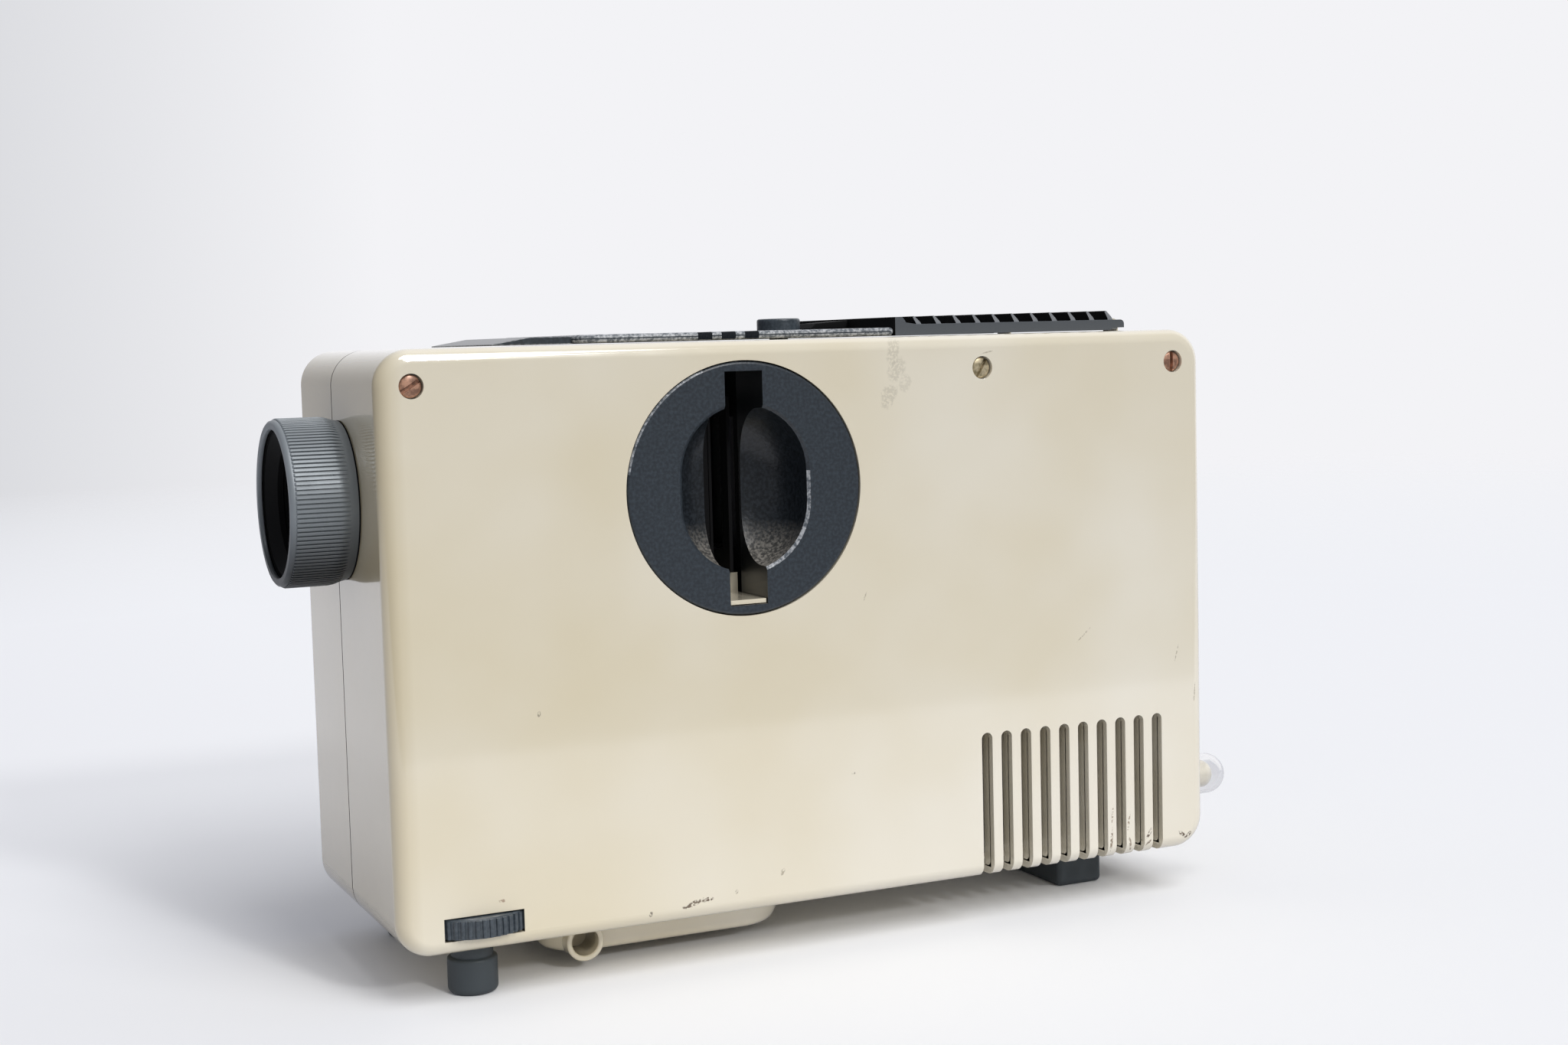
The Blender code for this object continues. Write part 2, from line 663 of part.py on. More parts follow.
def build_shells():
    shared = shared_case_tools()
    near_rim, far_rim = SEAM_Y - GAP / 2, SEAM_Y + GAP / 2
    near = half_shell("near_shell", NEAR_Y, near_rim)
    far = half_shell("far_shell", FAR_Y, far_rim)
    screws = CASE_SCREWS
    join(near, *boss_tools("near", NEAR_Y, near_rim, screws), *ear("near", NEAR_Y, 1),
         *chassis_posts("near", near_rim, NEAR_Y))
    join(far, *boss_tools("far", FAR_Y, far_rim, screws), *ear("far", FAR_Y, -1),
         *chassis_posts("far", far_rim, FAR_Y))
    reach = BODY_WIDTH - WALL
    near_holes = screw_hole_tools("near", NEAR_Y, 1, screws, reach)
    far_holes = [t for t in near_holes if "hole" in t.name]
    inlet_hole = inlet_hole_tool()
    cut(near, *near_holes, *side_tools("near", NEAR_Y, 1), *shared,
        pin_hole_tool("near", NEAR_Y, 1), inlet_hole, vent_cutter(NEAR_Y, 1))
    cut(far, *far_holes, *side_tools("far", FAR_Y, -1), *shared,
        pin_hole_tool("far", FAR_Y, -1), inlet_hole, vent_cutter(FAR_Y, -1))
    cut(near, bumper_hole_tool("near"))
    cut(far, bumper_hole_tool("far"))
    return near, far


def build_case_screws():
    """Slotted screws that pull the two shells together."""
    for i, (x, z, angle) in enumerate(CASE_SCREWS):
        name = ("front_case_screw", "middle_case_screw", "rear_case_screw")[i]
        y = NEAR_Y + SCREW_SINK
        head = turned(name, [(0, 0), (SCREW_HEAD_RADIUS, 0),
                             (SCREW_HEAD_RADIUS, -SCREW_HEAD_THICKNESS),
                             (SCREW_SHANK_RADIUS, -SCREW_HEAD_THICKNESS),
                             (SCREW_SHANK_RADIUS, -BODY_WIDTH + SCREW_SINK + 2 * WALL),
                             (0, -BODY_WIDTH + SCREW_SINK + 2 * WALL)],
                      COPPERY, (x, y, z), (math.pi / 2, 0, 0), SMALL_STEPS)
        cut(head, screw_slot(name, x, y, z, angle))


def screw_slot(name, x, y, z, angle):
    work = bmesh.new()
    bmesh.ops.create_cube(work, size=1)
    bmesh.ops.scale(work, vec=(2 * SCREW_HEAD_RADIUS + OVERRUN, 2 * SCREW_SLOT_DEPTH, SCREW_SLOT),
                    verts=work.verts)
    bmesh.ops.rotate(work, matrix=Matrix.Rotation(-math.radians(angle), 3, "Y"), verts=work.verts)
    return add_object(f"{name}_slot_tool", finish_mesh(work, name + "_slot_tool"), BLACK,
                      (x, y, z), collection=CUTTERS)


# Slide ports
def build_port(label, outer_y, inward):
    """A round insert with a full-depth slot and a finger bowl on each side of it."""
    start = outer_y if inward > 0 else outer_y - PORT_DEPTH
    name = f"{label}_port"
    insert = rod(name, PORT_RADIUS, (PORT_X, start, AXIS_Z), PORT_DEPTH, "Y", DARK,
                 PORT_STEPS, edge=PORT_EDGE)
    half = SLOT_WIDTH / 2
    slot = tool_block(f"{label}_slot", (PORT_X - half, start - OVERRUN, AXIS_Z - GATE_HALF_HEIGHT),
                      (PORT_X + half, start + PORT_DEPTH + OVERRUN, AXIS_Z + GATE_HALF_HEIGHT))
    bowl = outline_plate(f"{label}_bowl", [stadium(BOWL_WIDTH, BOWL_HEIGHT)], BOWL_DEPTH + OVERRUN,
                         BLACK, (PORT_X, outer_y + inward * (BOWL_DEPTH - OVERRUN) / 2, AXIS_Z),
                         UPRIGHT, CUTTERS)
    round_bowl(bowl, -inward)
    return cut(insert, slot, bowl)


def round_bowl(bowl, side):
    """Round the inner rim of a bowl cutter; its local Z points out along -Y."""
    work = bmesh.new()
    work.from_mesh(bowl.data)
    inner = -side * -1 * (BOWL_DEPTH + OVERRUN) / 2
    caps = [f for f in work.faces if abs(abs(f.normal.z) - 1) < 0.01 and f.calc_center_median().z
            * inner > 0]
    bmesh.ops.dissolve_faces(work, faces=caps)
    rims = [e for e in work.edges if all(abs(v.co.z - inner) < MERGE for v in e.verts)]
    rounding = min(BOWL_ROUND, BOWL_DEPTH)
    bmesh.ops.bevel(work, geom=rims, offset=rounding, segments=4, profile=0.5, affect="EDGES")
    work.to_mesh(bowl.data)
    work.free()


# Gate
def build_gate():
    y_low = NEAR_Y + PORT_DEPTH + GAP
    y_high = FAR_Y - PORT_DEPTH - GAP
    outer_front = PORT_X - GATE_FRONT - GATE_WALL
    outer_rear = PORT_X + GATE_REAR + GATE_WALL
    body = block("gate_block", (outer_front, y_low, AXIS_Z - GATE_HALF_HEIGHT - GATE_WALL),
                 (outer_rear, y_high, AXIS_Z + GATE_HALF_HEIGHT + GATE_WALL), BLACK)
    channel = tool_block("gate_channel",
                         (PORT_X - GATE_FRONT, y_low - OVERRUN, AXIS_Z - GATE_HALF_HEIGHT),
                         (PORT_X + GATE_REAR, y_high + OVERRUN, AXIS_Z + GATE_HALF_HEIGHT))
    rail_half = SLOT_WIDTH / 2
    rail_way = tool_block("gate_rail_way",
                          (PORT_X - rail_half, y_low - OVERRUN, AXIS_Z - GATE_HALF_HEIGHT),
                          (PORT_X + rail_half, y_high + OVERRUN, AXIS_Z - SLIDE_SIDE / 2))
    half = APERTURE / 2
    light = tool_block("gate_light", (outer_front - OVERRUN, AXIS_Y - half, AXIS_Z - half),
                       (outer_rear + OVERRUN, AXIS_Y + half, AXIS_Z + half))
    cut(body, channel, rail_way, light)
    build_aperture_plate()
    build_pressure_plate()
    build_gate_springs()
    build_guide_rail()


def build_aperture_plate():
    half, tall = GATE_PLATE_WIDTH / 2, SLIDE_SIDE / 2
    front = PORT_X - SLIDE_PASSAGE / 2 - APERTURE_PLATE_THICKNESS
    plate = block("aperture_plate", (front, AXIS_Y - half, AXIS_Z - tall),
                  (front + APERTURE_PLATE_THICKNESS, AXIS_Y + half, AXIS_Z + tall), STEEL)
    inner = APERTURE / 2 - GAP
    return cut(plate, tool_block("aperture", (front - OVERRUN, AXIS_Y - inner, AXIS_Z - inner),
                                 (front + OVERRUN, AXIS_Y + inner, AXIS_Z + inner)))


def build_pressure_plate():
    """A frame that stands on the rail and presses the slide against the aperture plate."""
    half, tall = GATE_PLATE_WIDTH / 2, SLIDE_SIDE / 2
    front = PORT_X + SLIDE_PASSAGE / 2
    origin = (front, AXIS_Y, AXIS_Z)
    plate = block("pressure_plate", (front, AXIS_Y - half, AXIS_Z - tall),
                  (front + PRESSURE_PLATE_THICKNESS, AXIS_Y + half, AXIS_Z + tall), BLACK, origin)
    inner = APERTURE / 2
    return cut(plate, tool_block("pressure_window", (front - OVERRUN, AXIS_Y - inner, AXIS_Z - inner),
                                 (front + OVERRUN, AXIS_Y + inner, AXIS_Z + inner)))


def build_gate_springs():
    """Two bowed leaf springs on the gate's rear wall, above and below the aperture."""
    wall = PORT_X + GATE_REAR - GAP
    room = GATE_REAR - SLIDE_PASSAGE / 2 - PRESSURE_PLATE_THICKNESS - PRESSURE_TRAVEL - 2 * GAP
    bow = room - SPRING_THICKNESS
    steps = 8
    outer = []
    for i in range(steps + 1):
        share = i / steps
        along = (share - 0.5) * SPRING_LENGTH
        outer.append((wall - bow * math.sin(math.pi * share), along))
    inner = [(x - SPRING_THICKNESS, y) for x, y in reversed(outer)]
    lift = APERTURE / 2 + SPRING_TO_APERTURE + SPRING_WIDTH / 2
    for label, side in (("upper", 1), ("lower", -1)):
        outline_plate(f"{label}_gate_spring", [outer + inner], SPRING_WIDTH, SPRING_STEEL,
                      (0, AXIS_Y, AXIS_Z + side * lift))


def build_guide_rail():
    """A beige rail right through the passage, low at its ends, where it rises to the slide."""
    low = AXIS_Z - GATE_HALF_HEIGHT + GAP
    shelf = low + RAIL_SHELF
    high = AXIS_Z - SLIDE_SIDE / 2 - GAP
    near, far = NEAR_Y + PORT_EDGE, FAR_Y - PORT_EDGE
    step = PORT_DEPTH + RAIL_STEP_BEHIND_PORT
    points = [(near, low), (far, low), (far, shelf), (FAR_Y - step, shelf),
              (FAR_Y - step, high), (NEAR_Y + step, high), (NEAR_Y + step, shelf),
              (near, shelf)]
    return outline_plate("guide_rail", [points], SLOT_WIDTH - 2 * GAP, BEIGE, (PORT_X, 0, 0),
                         (math.pi / 2, 0, math.pi / 2))


# Lens
def build_lens():
    rim_x = FRONT_X - LENS_REACH
    build_focus_ring(rim_x)
    build_barrel(rim_x)
    build_bezel(rim_x)
    build_glasses(rim_x)
    build_lens_mount()


def build_focus_ring(rim_x):
    """The knurled ring: ribs along the middle, plain bands and chamfers at the ends."""
    rest = FOCUS_RADIUS - RIB_DEPTH - GAP
    bore = BARREL_RADIUS + GAP
    mouth = FOCUS_RADIUS - RIM_LIP
    edge = RIB_FRONT_MARGIN / 3
    profile = [(rest - edge, 0), (rest, -edge), (rest, edge - FOCUS_LENGTH),
               (rest - edge, -FOCUS_LENGTH), (bore, -FOCUS_LENGTH), (bore, -RIM_DEPTH),
               (mouth, -RIM_DEPTH), (mouth, 0)]
    ring = turned("focus_ring", profile, ANODISED, (rim_x, AXIS_Y, AXIS_Z), TOWARDS_LENS,
                  closed=True)
    middle = rim_x + (RIB_FRONT_MARGIN + FOCUS_LENGTH - RIB_REAR_MARGIN) / 2
    ribs = outline_plate("ring_ribs", [ribbed_circle(FOCUS_RADIUS, RIB_DEPTH, FOCUS_RIBS),
                                       circle((rest + bore) / 2)],
                         FOCUS_LENGTH - RIB_FRONT_MARGIN - RIB_REAR_MARGIN, ANODISED,
                         (middle, AXIS_Y, AXIS_Z), TOWARDS_LENS, CUTTERS)
    return join(ring, ribs)


def build_barrel(rim_x):
    """The barrel, with stepped rings behind the cone and a seat for each glass."""
    front = -RIM_DEPTH - GAP
    rear = -(LENS_REACH + BARREL_BEHIND_FACE)
    inner = BARREL_RADIUS - BARREL_WALL
    seat = -(RIM_DEPTH + BEZEL_DEPTH + 2 * GAP)
    steps = []
    depth = seat
    for i in range(BAFFLE_COUNT):
        radius = LENS_RADIUS + BAFFLE_STEP * (BAFFLE_COUNT - i) / 2 - BAFFLE_STEP
        steps += [(radius, depth), (radius, depth - BAFFLE_PITCH)]
        depth -= BAFFLE_PITCH
    bore = [(inner, seat)] + steps
    profile = [(BARREL_RADIUS, front), (BARREL_RADIUS, rear), (LENS_RADIUS - BAFFLE_STEP, rear)]
    profile += list(reversed(steps)) + [(inner, seat), (inner, front)]
    return turned("lens_barrel", profile, BLACK, (rim_x, AXIS_Y, AXIS_Z), TOWARDS_LENS,
                  closed=True)


def build_bezel(rim_x):
    """The black cone ring round the front glass."""
    outer = BARREL_RADIUS - BARREL_WALL - GAP
    front = -RIM_DEPTH - 2 * GAP
    rear = front - BEZEL_DEPTH + GAP
    profile = [(outer, front), (outer, rear), (LENS_RADIUS + GAP, rear),
               (LENS_RADIUS + GAP, rear + GLASS_EDGE), (outer - GLASS_EDGE / 2, front)]
    return turned("lens_cone_ring", profile, BLACK, (rim_x, AXIS_Y, AXIS_Z), TOWARDS_LENS,
                  closed=True)


def lens_profile(radius, thickness, edge, count=3):
    """A biconvex glass: two arcs and a flat edge, down its outer side."""
    bulge = (thickness - edge) / 2
    curve = (radius ** 2 + bulge ** 2) / (2 * bulge)
    front, back = [], []
    for i in range(count + 1):
        r = radius * i / count
        height = edge / 2 + bulge - (curve - math.sqrt(curve ** 2 - r ** 2))
        front.append((r, height))
        back.append((r, -height))
    return front + list(reversed(back))


def build_glasses(rim_x):
    """Three lens elements seated inside the barrel's bore."""
    bore = LENS_RADIUS - BAFFLE_STEP
    radius = bore - GAP
    first = RIM_DEPTH + BEZEL_DEPTH + BAFFLE_COUNT * BAFFLE_PITCH + FRONT_GLASS_THICKNESS
    last = LENS_REACH + BARREL_BEHIND_FACE - REAR_GLASS_THICKNESS
    middle = (first + last) / 2
    table = (("front_lens", first, FRONT_GLASS_THICKNESS), ("middle_lens", middle,
             MIDDLE_GLASS_THICKNESS), ("rear_lens", last, REAR_GLASS_THICKNESS))
    for name, depth, thickness in table:
        turned(name, lens_profile(radius, thickness, GLASS_EDGE), GLASS,
               (rim_x + depth, AXIS_Y, AXIS_Z), TOWARDS_LENS, 24)


def build_lens_mount():
    """The sleeve that the barrel slides in, on a foot that stands on the chassis."""
    inner = BARREL_RADIUS + GAP
    outer = inner + MOUNT_WALL
    start = FRONT_X + WALL + GAP
    sleeve = rod("lens_mount", outer, (start, AXIS_Y, AXIS_Z), MOUNT_LENGTH, "X", BLACK,
                 ROUND_STEPS)
    foot_x = start + MOUNT_LENGTH - MOUNT_FOOT_THICKNESS
    near_wheel_edge = WHEEL_PLACES["near"] + WHEEL_RADIUS
    half = AXIS_Y - near_wheel_edge - MOUNT_TO_WHEEL
    brace_top = FLOOR_Z + CORE_HEIGHT
    post = tool_block("mount_post", (foot_x, AXIS_Y - half, brace_top),
                      (foot_x + MOUNT_FOOT_THICKNESS, AXIS_Y + half, AXIS_Z - inner))
    leg = tool_block("mount_leg", (foot_x, AXIS_Y - half, FLOOR_Z + GAP),
                     (foot_x + MOUNT_FOOT_THICKNESS, AXIS_Y + half, brace_top + BOND))
    join(sleeve, post, leg)
    bore = tool_rod("mount_bore", inner, (start - OVERRUN, AXIS_Y, AXIS_Z),
                    MOUNT_LENGTH + 2 * OVERRUN, "X", ROUND_STEPS)
    return cut(sleeve, bore)


# Feet
def build_feet():
    for label, y in WHEEL_PLACES.items():
        build_thumbwheel(label, y)
        build_foot(label, y)
    build_foot_bridge()
    build_rear_foot()


def build_thumbwheel(label, y):
    """A ribbed captive nut, turned through the window to raise or lower the foot."""
    z = BASE_Z + WHEEL_ABOVE_BASE + WHEEL_THICKNESS / 2
    rim = ribbed_circle(WHEEL_RADIUS, WHEEL_RIB_DEPTH, WHEEL_RIBS)
    return outline_plate(f"{label}_thumbwheel", [rim, circle(STEM_RADIUS + GAP, SMALL_STEPS)],
                         WHEEL_THICKNESS, DARK, (WHEEL_X, y, z))


def build_foot(label, y):
    """A round foot on a neck and a threaded stem, its origin at the foot's base."""
    wheel_under = BASE_Z + WHEEL_ABOVE_BASE
    stem_top = wheel_under + WHEEL_THICKNESS + BRIDGE_THICKNESS + FOOT_TRAVEL
    shoulder = FOOT_HEIGHT - FOOT_ROUND / 2
    profile = [(0, stem_top), (STEM_RADIUS, stem_top), (STEM_RADIUS, wheel_under - GAP),
               (NECK_RADIUS, wheel_under - GAP), (NECK_RADIUS, FOOT_HEIGHT),
               (FOOT_RADIUS, shoulder), (FOOT_RADIUS, FOOT_ROUND),
               (FOOT_RADIUS - FOOT_ROUND / 3, FOOT_ROUND / 3), (FOOT_RADIUS - FOOT_ROUND, 0),
               (0, 0)]
    return turned(f"{label}_foot", profile, GREY_RUBBER, (WHEEL_X, y, 0), steps=20)


def build_foot_bridge():
    """A bar across the case that keeps both thumbwheels down and guides the stems."""
    low = BASE_Z + WHEEL_ABOVE_BASE + WHEEL_THICKNESS + GAP
    half = BRIDGE_WIDTH / 2
    bar = block("foot_bridge", (WHEEL_X - half, NEAR_Y + WALL + 2 * GAP, low),
                (WHEEL_X + half, FAR_Y - WALL - 2 * GAP, low + BRIDGE_THICKNESS), BLACK)
    room = WHEEL_PLACES["far"] - WHEEL_RADIUS
    near_edge, far_edge = [share * room for share in BRIDGE_LEG_SHARES]
    leg = tool_block("bridge_leg", (WHEEL_X - half, near_edge, FLOOR_Z + GAP),
                     (WHEEL_X + half, far_edge, low + BOND))
    join(bar, leg)
    holes = [tool_rod(f"{label}_stem_hole", STEM_RADIUS + GAP, (WHEEL_X, y, low - OVERRUN),
                      BRIDGE_THICKNESS + 2 * OVERRUN, "Z") for label, y in WHEEL_PLACES.items()]
    return cut(bar, *holes)


def build_rear_foot():
    low_x = REAR_X - REAR_FOOT_FROM_REAR - REAR_FOOT_LENGTH / 2
    foot = block("rear_foot", (low_x, -REAR_FOOT_WIDTH / 2, 0),
                 (low_x + REAR_FOOT_LENGTH, REAR_FOOT_WIDTH / 2, BASE_Z - GAP), GREY_RUBBER,
                 edge=REAR_FOOT_ROUND, edge_steps=3)
    return foot


# Belly pan
def build_belly():
    """A shallow tub under the case with sloping ends, and its open sleeve."""
    low = (FRONT_X + BELLY_FROM_FRONT, NEAR_Y + BELLY_FROM_SIDE, BASE_Z - BELLY_DEPTH)
    high = (low[0] + BELLY_LENGTH, FAR_Y - BELLY_FROM_SIDE, BASE_Z - GAP)
    pan = tub("belly_pan", low, high)
    sleeve_x = low[0] + SLEEVE_FROM_BELLY
    sleeve_z = BASE_Z - GAP - SLEEVE_RADIUS
    start = NEAR_Y + SLEEVE_FROM_SIDE
    length = BELLY_FROM_SIDE - SLEEVE_FROM_SIDE + BELLY_ROUND
    sleeve = tool_rod("sleeve", SLEEVE_RADIUS, (sleeve_x, start, sleeve_z), length, "Y")
    bore = tool_rod("sleeve_bore", SLEEVE_BORE_RADIUS, (sleeve_x, start - OVERRUN, sleeve_z),
                    length + OVERRUN - WALL, "Y")
    trim = tool_block("belly_trim", (low[0] - OVERRUN, low[1] - OVERRUN, high[2]),
                      (high[0] + OVERRUN, high[1] + OVERRUN, high[2] + OVERRUN))
    return cut(join(pan, sleeve), bore, trim)


def tub(name, low, high):
    """An open tub: rounded in plan, drawn in along X towards its floor."""
    work = bmesh.new()
    bmesh.ops.create_cube(work, size=1)
    bmesh.ops.scale(work, vec=[high[i] - low[i] for i in range(3)], verts=work.verts)
    bmesh.ops.translate(work, vec=[(high[i] + low[i]) / 2 for i in range(3)], verts=work.verts)
    middle = (low[0] + high[0]) / 2
    for vertex in work.verts:
        if vertex.co.z < (low[2] + high[2]) / 2:
            vertex.co.x += BELLY_SLOPE if vertex.co.x < middle else -BELLY_SLOPE
    posts = [e for e in work.edges if abs(e.verts[0].co.z - e.verts[1].co.z) > MERGE]
    bmesh.ops.bevel(work, geom=posts, offset=BELLY_ROUND, segments=5, profile=0.5, affect="EDGES")
    floor = [e for e in work.edges if all(abs(v.co.z - low[2]) < MERGE for v in e.verts)]
    bmesh.ops.bevel(work, geom=floor, offset=BELLY_EDGE, segments=3, profile=0.5, affect="EDGES")
    top = max(work.faces, key=lambda f: f.calc_center_median().z)
    bmesh.ops.delete(work, geom=[top], context="FACES_ONLY")
    made = add_object(name, finish_mesh(work, name), BEIGE)
    thicken = made.modifiers.new("wall", "SOLIDIFY")
    thicken.thickness = WALL * 0.8
    thicken.offset = -1
    thicken.use_even_offset = True
    return made


# Top deck and button
def build_deck():
    """The dark top plate: narrow ramped front, wide pad, and three grooves over the slide."""
    base = TOP_Z + GAP
    high = TOP_Z + DECK_HEIGHT
    pad_x = FRONT_X + DECK_PAD_FROM_FRONT
    rear_x = LID_X - LID_TO_DECK
    half = BODY_WIDTH / 2 - DECK_INSET
    turn_y = half - DECK_CORNER
    front = [(x, y) for x, y in arc(DECK_CORNER, 90, 180, 5, (pad_x + DECK_CORNER, turn_y))]
    front += arc(DECK_CORNER, 180, 270, 5, (pad_x + DECK_CORNER, -turn_y))
    plan = front + [(rear_x, -half), (rear_x, half)]
    deck = outline_plate("top_deck", [plan], high - base, DARK, (0, 0, (high + base) / 2),
                         edge=DECK_EDGE)
    nose_x = FRONT_X + DECK_FROM_FRONT
    nose = outline_plate("deck_nose",
                         [[(nose_x, base), (pad_x + OVERRUN, base), (pad_x + OVERRUN, high - GAP),
                           (nose_x + DECK_RAMP, high - GAP), (nose_x, base + GAP)]],
                         BODY_WIDTH - 2 * DECK_FRONT_INSET, DARK, (0, 0, 0), UPRIGHT, CUTTERS)
    join(deck, nose)
    grooves = []
    for i in range(GROOVE_COUNT):
        x = PORT_X + (i - (GROOVE_COUNT - 1) / 2) * GROOVE_PITCH
        grooves.append(tool_block(f"groove_{i}", (x - GROOVE_WIDTH / 2, NEAR_Y, high - GROOVE_DEPTH),
                                  (x + GROOVE_WIDTH / 2, FAR_Y, high + OVERRUN)))
    button_x = PORT_X + BUTTON_FROM_PORT
    well = tool_rod("button_well", BUTTON_RADIUS + GAP, (button_x, 0, TOP_Z - OVERRUN),
                    DECK_HEIGHT + 2 * OVERRUN, "Z", 32)
    return cut(deck, *grooves, well)


def build_button():
    """The round push button; its stem reaches the switch below."""
    top = TOP_Z + DECK_HEIGHT + BUTTON_PROUD
    under = TOP_Z + BUTTON_TRAVEL + GAP
    switch_top = TOP_Z - WALL - GAP
    stem_end = switch_top - BUTTON_TRAVEL
    profile = [(0, top), (BUTTON_RADIUS - BUTTON_EDGE, top), (BUTTON_RADIUS, top - BUTTON_EDGE),
               (BUTTON_RADIUS, under), (BUTTON_STEM_RADIUS, under),
               (BUTTON_STEM_RADIUS, stem_end), (0, stem_end)]
    z = top
    profile = [(r, h - z) for r, h in profile]
    return turned("power_button", profile, DARK, (PORT_X + BUTTON_FROM_PORT, 0, z), steps=24)


def build_power_switch():
    """The switch body under the case top, with a socket for the button's stem."""
    x = PORT_X + BUTTON_FROM_PORT
    high = TOP_Z - WALL - GAP
    body = block("power_switch", (x - SWITCH_LENGTH / 2, -SWITCH_WIDTH / 2, high - SWITCH_HEIGHT),
                 (x + SWITCH_LENGTH / 2, SWITCH_WIDTH / 2, high), BLACK)
    socket_depth = 2 * BUTTON_TRAVEL + 2 * GAP
    return cut(body, tool_rod("switch_socket", BUTTON_STEM_RADIUS + GAP,
                              (x, 0, high - socket_depth), socket_depth + OVERRUN, "Z"))


# Lamp-house lid
def build_lid():
    """The louvred lid: a finger tab and a front wall, side bars round the hinge, and fins."""
    near, far = NEAR_Y + LID_INSET, FAR_Y - LID_INSET
    lid = lid_silhouette(far - near)
    low = TOP_Z - OVERRUN
    inner_near, inner_far = near + LID_BAR_WIDTH, far - LID_BAR_WIDTH
    rear = LID_PIN_X - LID_KNUCKLE - LID_WALL
    well = tool_block("lid_well", (LID_X + LID_WALL, inner_near, low),
                      (rear, inner_far, TOP_Z + LID_HEIGHT + OVERRUN))
    slot = EAR_WIDTH + 2 * GAP
    notches = [tool_block(f"lid_notch_{i}", (LID_PIN_X - EAR_RADIUS - GAP, y, low),
                          (LID_PIN_X + LID_KNUCKLE + OVERRUN, y + slot, TOP_Z + LID_HEIGHT))
               for i, y in enumerate((inner_near, inner_far - slot))]
    join(cut(lid, well), lid_fins(near, far), lid_tab())
    cut(lid, *notches)
    return cut(lid, *[bpy.data.objects[f"{label}_pin_hole"] for label in ("near", "far")])


def lid_silhouette(width):
    """The lid's side view drawn out across its width, rounded about the hinge pin."""
    origin = (LID_PIN_X, 0, LID_PIN_Z)
    front = LID_X - LID_PIN_X
    high = TOP_Z + LID_HEIGHT - LID_PIN_Z
    points = arc(LID_KNUCKLE, -90, 90, 7)
    points += [(front + 3 * LID_WALL, LID_KNUCKLE), (front + 2 * LID_WALL, high), (front, high),
               (front, -LID_KNUCKLE)]
    made = outline_plate("lamp_lid", [points], width, DARK, origin, UPRIGHT)
    move_origin(made, origin)
    return made


def lid_tab():
    """The finger tab in front of the lid, with a bevelled tip just over the deck."""
    under = TOP_Z + DECK_HEIGHT + GAP
    tip = LID_X - TAB_LENGTH
    points = [(tip, under), (LID_X + LID_WALL / 2, under),
              (LID_X + LID_WALL / 2, TOP_Z + LID_HEIGHT - GAP),
              (tip + TAB_TIP_HEIGHT - DECK_HEIGHT, TOP_Z + TAB_TIP_HEIGHT)]
    return outline_plate("lid_tab", [points], TAB_WIDTH, DARK, (0, 0, 0), UPRIGHT, CUTTERS)


def move_origin(made, origin):
    """Put the object's origin on a joint axis without moving its shape."""
    placed = made.matrix_basis.copy()
    target = Matrix.Translation(origin)
    made.data.transform(target.inverted() @ placed)
    made.matrix_basis = target


def lid_fins(near, far):
    """Leaning cross slats, top edge forward, each a little taller than the one in front."""
    work = bmesh.new()
    low = TOP_Z + 2 * GAP
    inset = LID_BAR_WIDTH / 2
    for i in range(FIN_COUNT):
        high = TOP_Z + FIN_LOW + (FIN_HIGH - FIN_LOW) * i / FIN_COUNT
        x = LID_X + FIN_FROM_FRONT + FIN_LEAN / 2 + i * FIN_PITCH
        corners = bmesh.ops.create_cube(work, size=1)["verts"]
        bmesh.ops.scale(work, vec=(FIN_THICKNESS, far - near - 2 * inset, high - low),
                        verts=corners)
        bmesh.ops.translate(work, vec=(x, (near + far) / 2, (low + high) / 2), verts=corners)
        for vertex in corners:
            vertex.co.x += -FIN_LEAN / 2 if vertex.co.z > (low + high) / 2 else FIN_LEAN / 2
    return add_object("lid_fins", finish_mesh(work, "lid_fins"), BLACK, collection=CUTTERS)


def build_hinge_pins():
    """Two short pins, one through each side bar and its ear."""
    length = LID_BAR_WIDTH + EAR_WIDTH + GAP
    for label, start in (("near", NEAR_Y + LID_INSET), ("far", FAR_Y - LID_INSET - length)):
        rod(f"{label}_hinge_pin", LID_PIN_RADIUS, (LID_PIN_X, start, LID_PIN_Z), length, "Y",
            COPPERY)


# Condenser, lamp and lamp house
def build_condenser():
    """A square sheet tunnel with two lenses and the heat filter between them."""
    length = 2 * CONDENSER_THICKNESS + FILTER_THICKNESS + 3 * CONDENSER_GAP
    half = HOUSING_HALF
    tunnel = outline_plate("condenser_housing",
                           [rectangle(half, half), rectangle(half - HOUSING_WALL, half - HOUSING_WALL)],
                           length, STEEL, (HOUSING_FRONT + length / 2, AXIS_Y, AXIS_Z),
                           TOWARDS_LENS)
    leg_x = HOUSING_FRONT + length / 2
    leg_half = CONDENSER_THICKNESS / 2
    leg = tool_block("housing_leg", (leg_x - leg_half, AXIS_Y - leg_half, CHASSIS_TOP + GAP),
                     (leg_x + leg_half, AXIS_Y + leg_half, AXIS_Z - half + HOUSING_WALL / 2))
    join(tunnel, leg)
    front = HOUSING_FRONT + CONDENSER_GAP / 2
    condenser_lens("front_condenser", front, True)
    filter_x = front + CONDENSER_THICKNESS + CONDENSER_GAP
    build_heat_filter(filter_x)
    condenser_lens("rear_condenser", filter_x + FILTER_THICKNESS + CONDENSER_GAP, False)


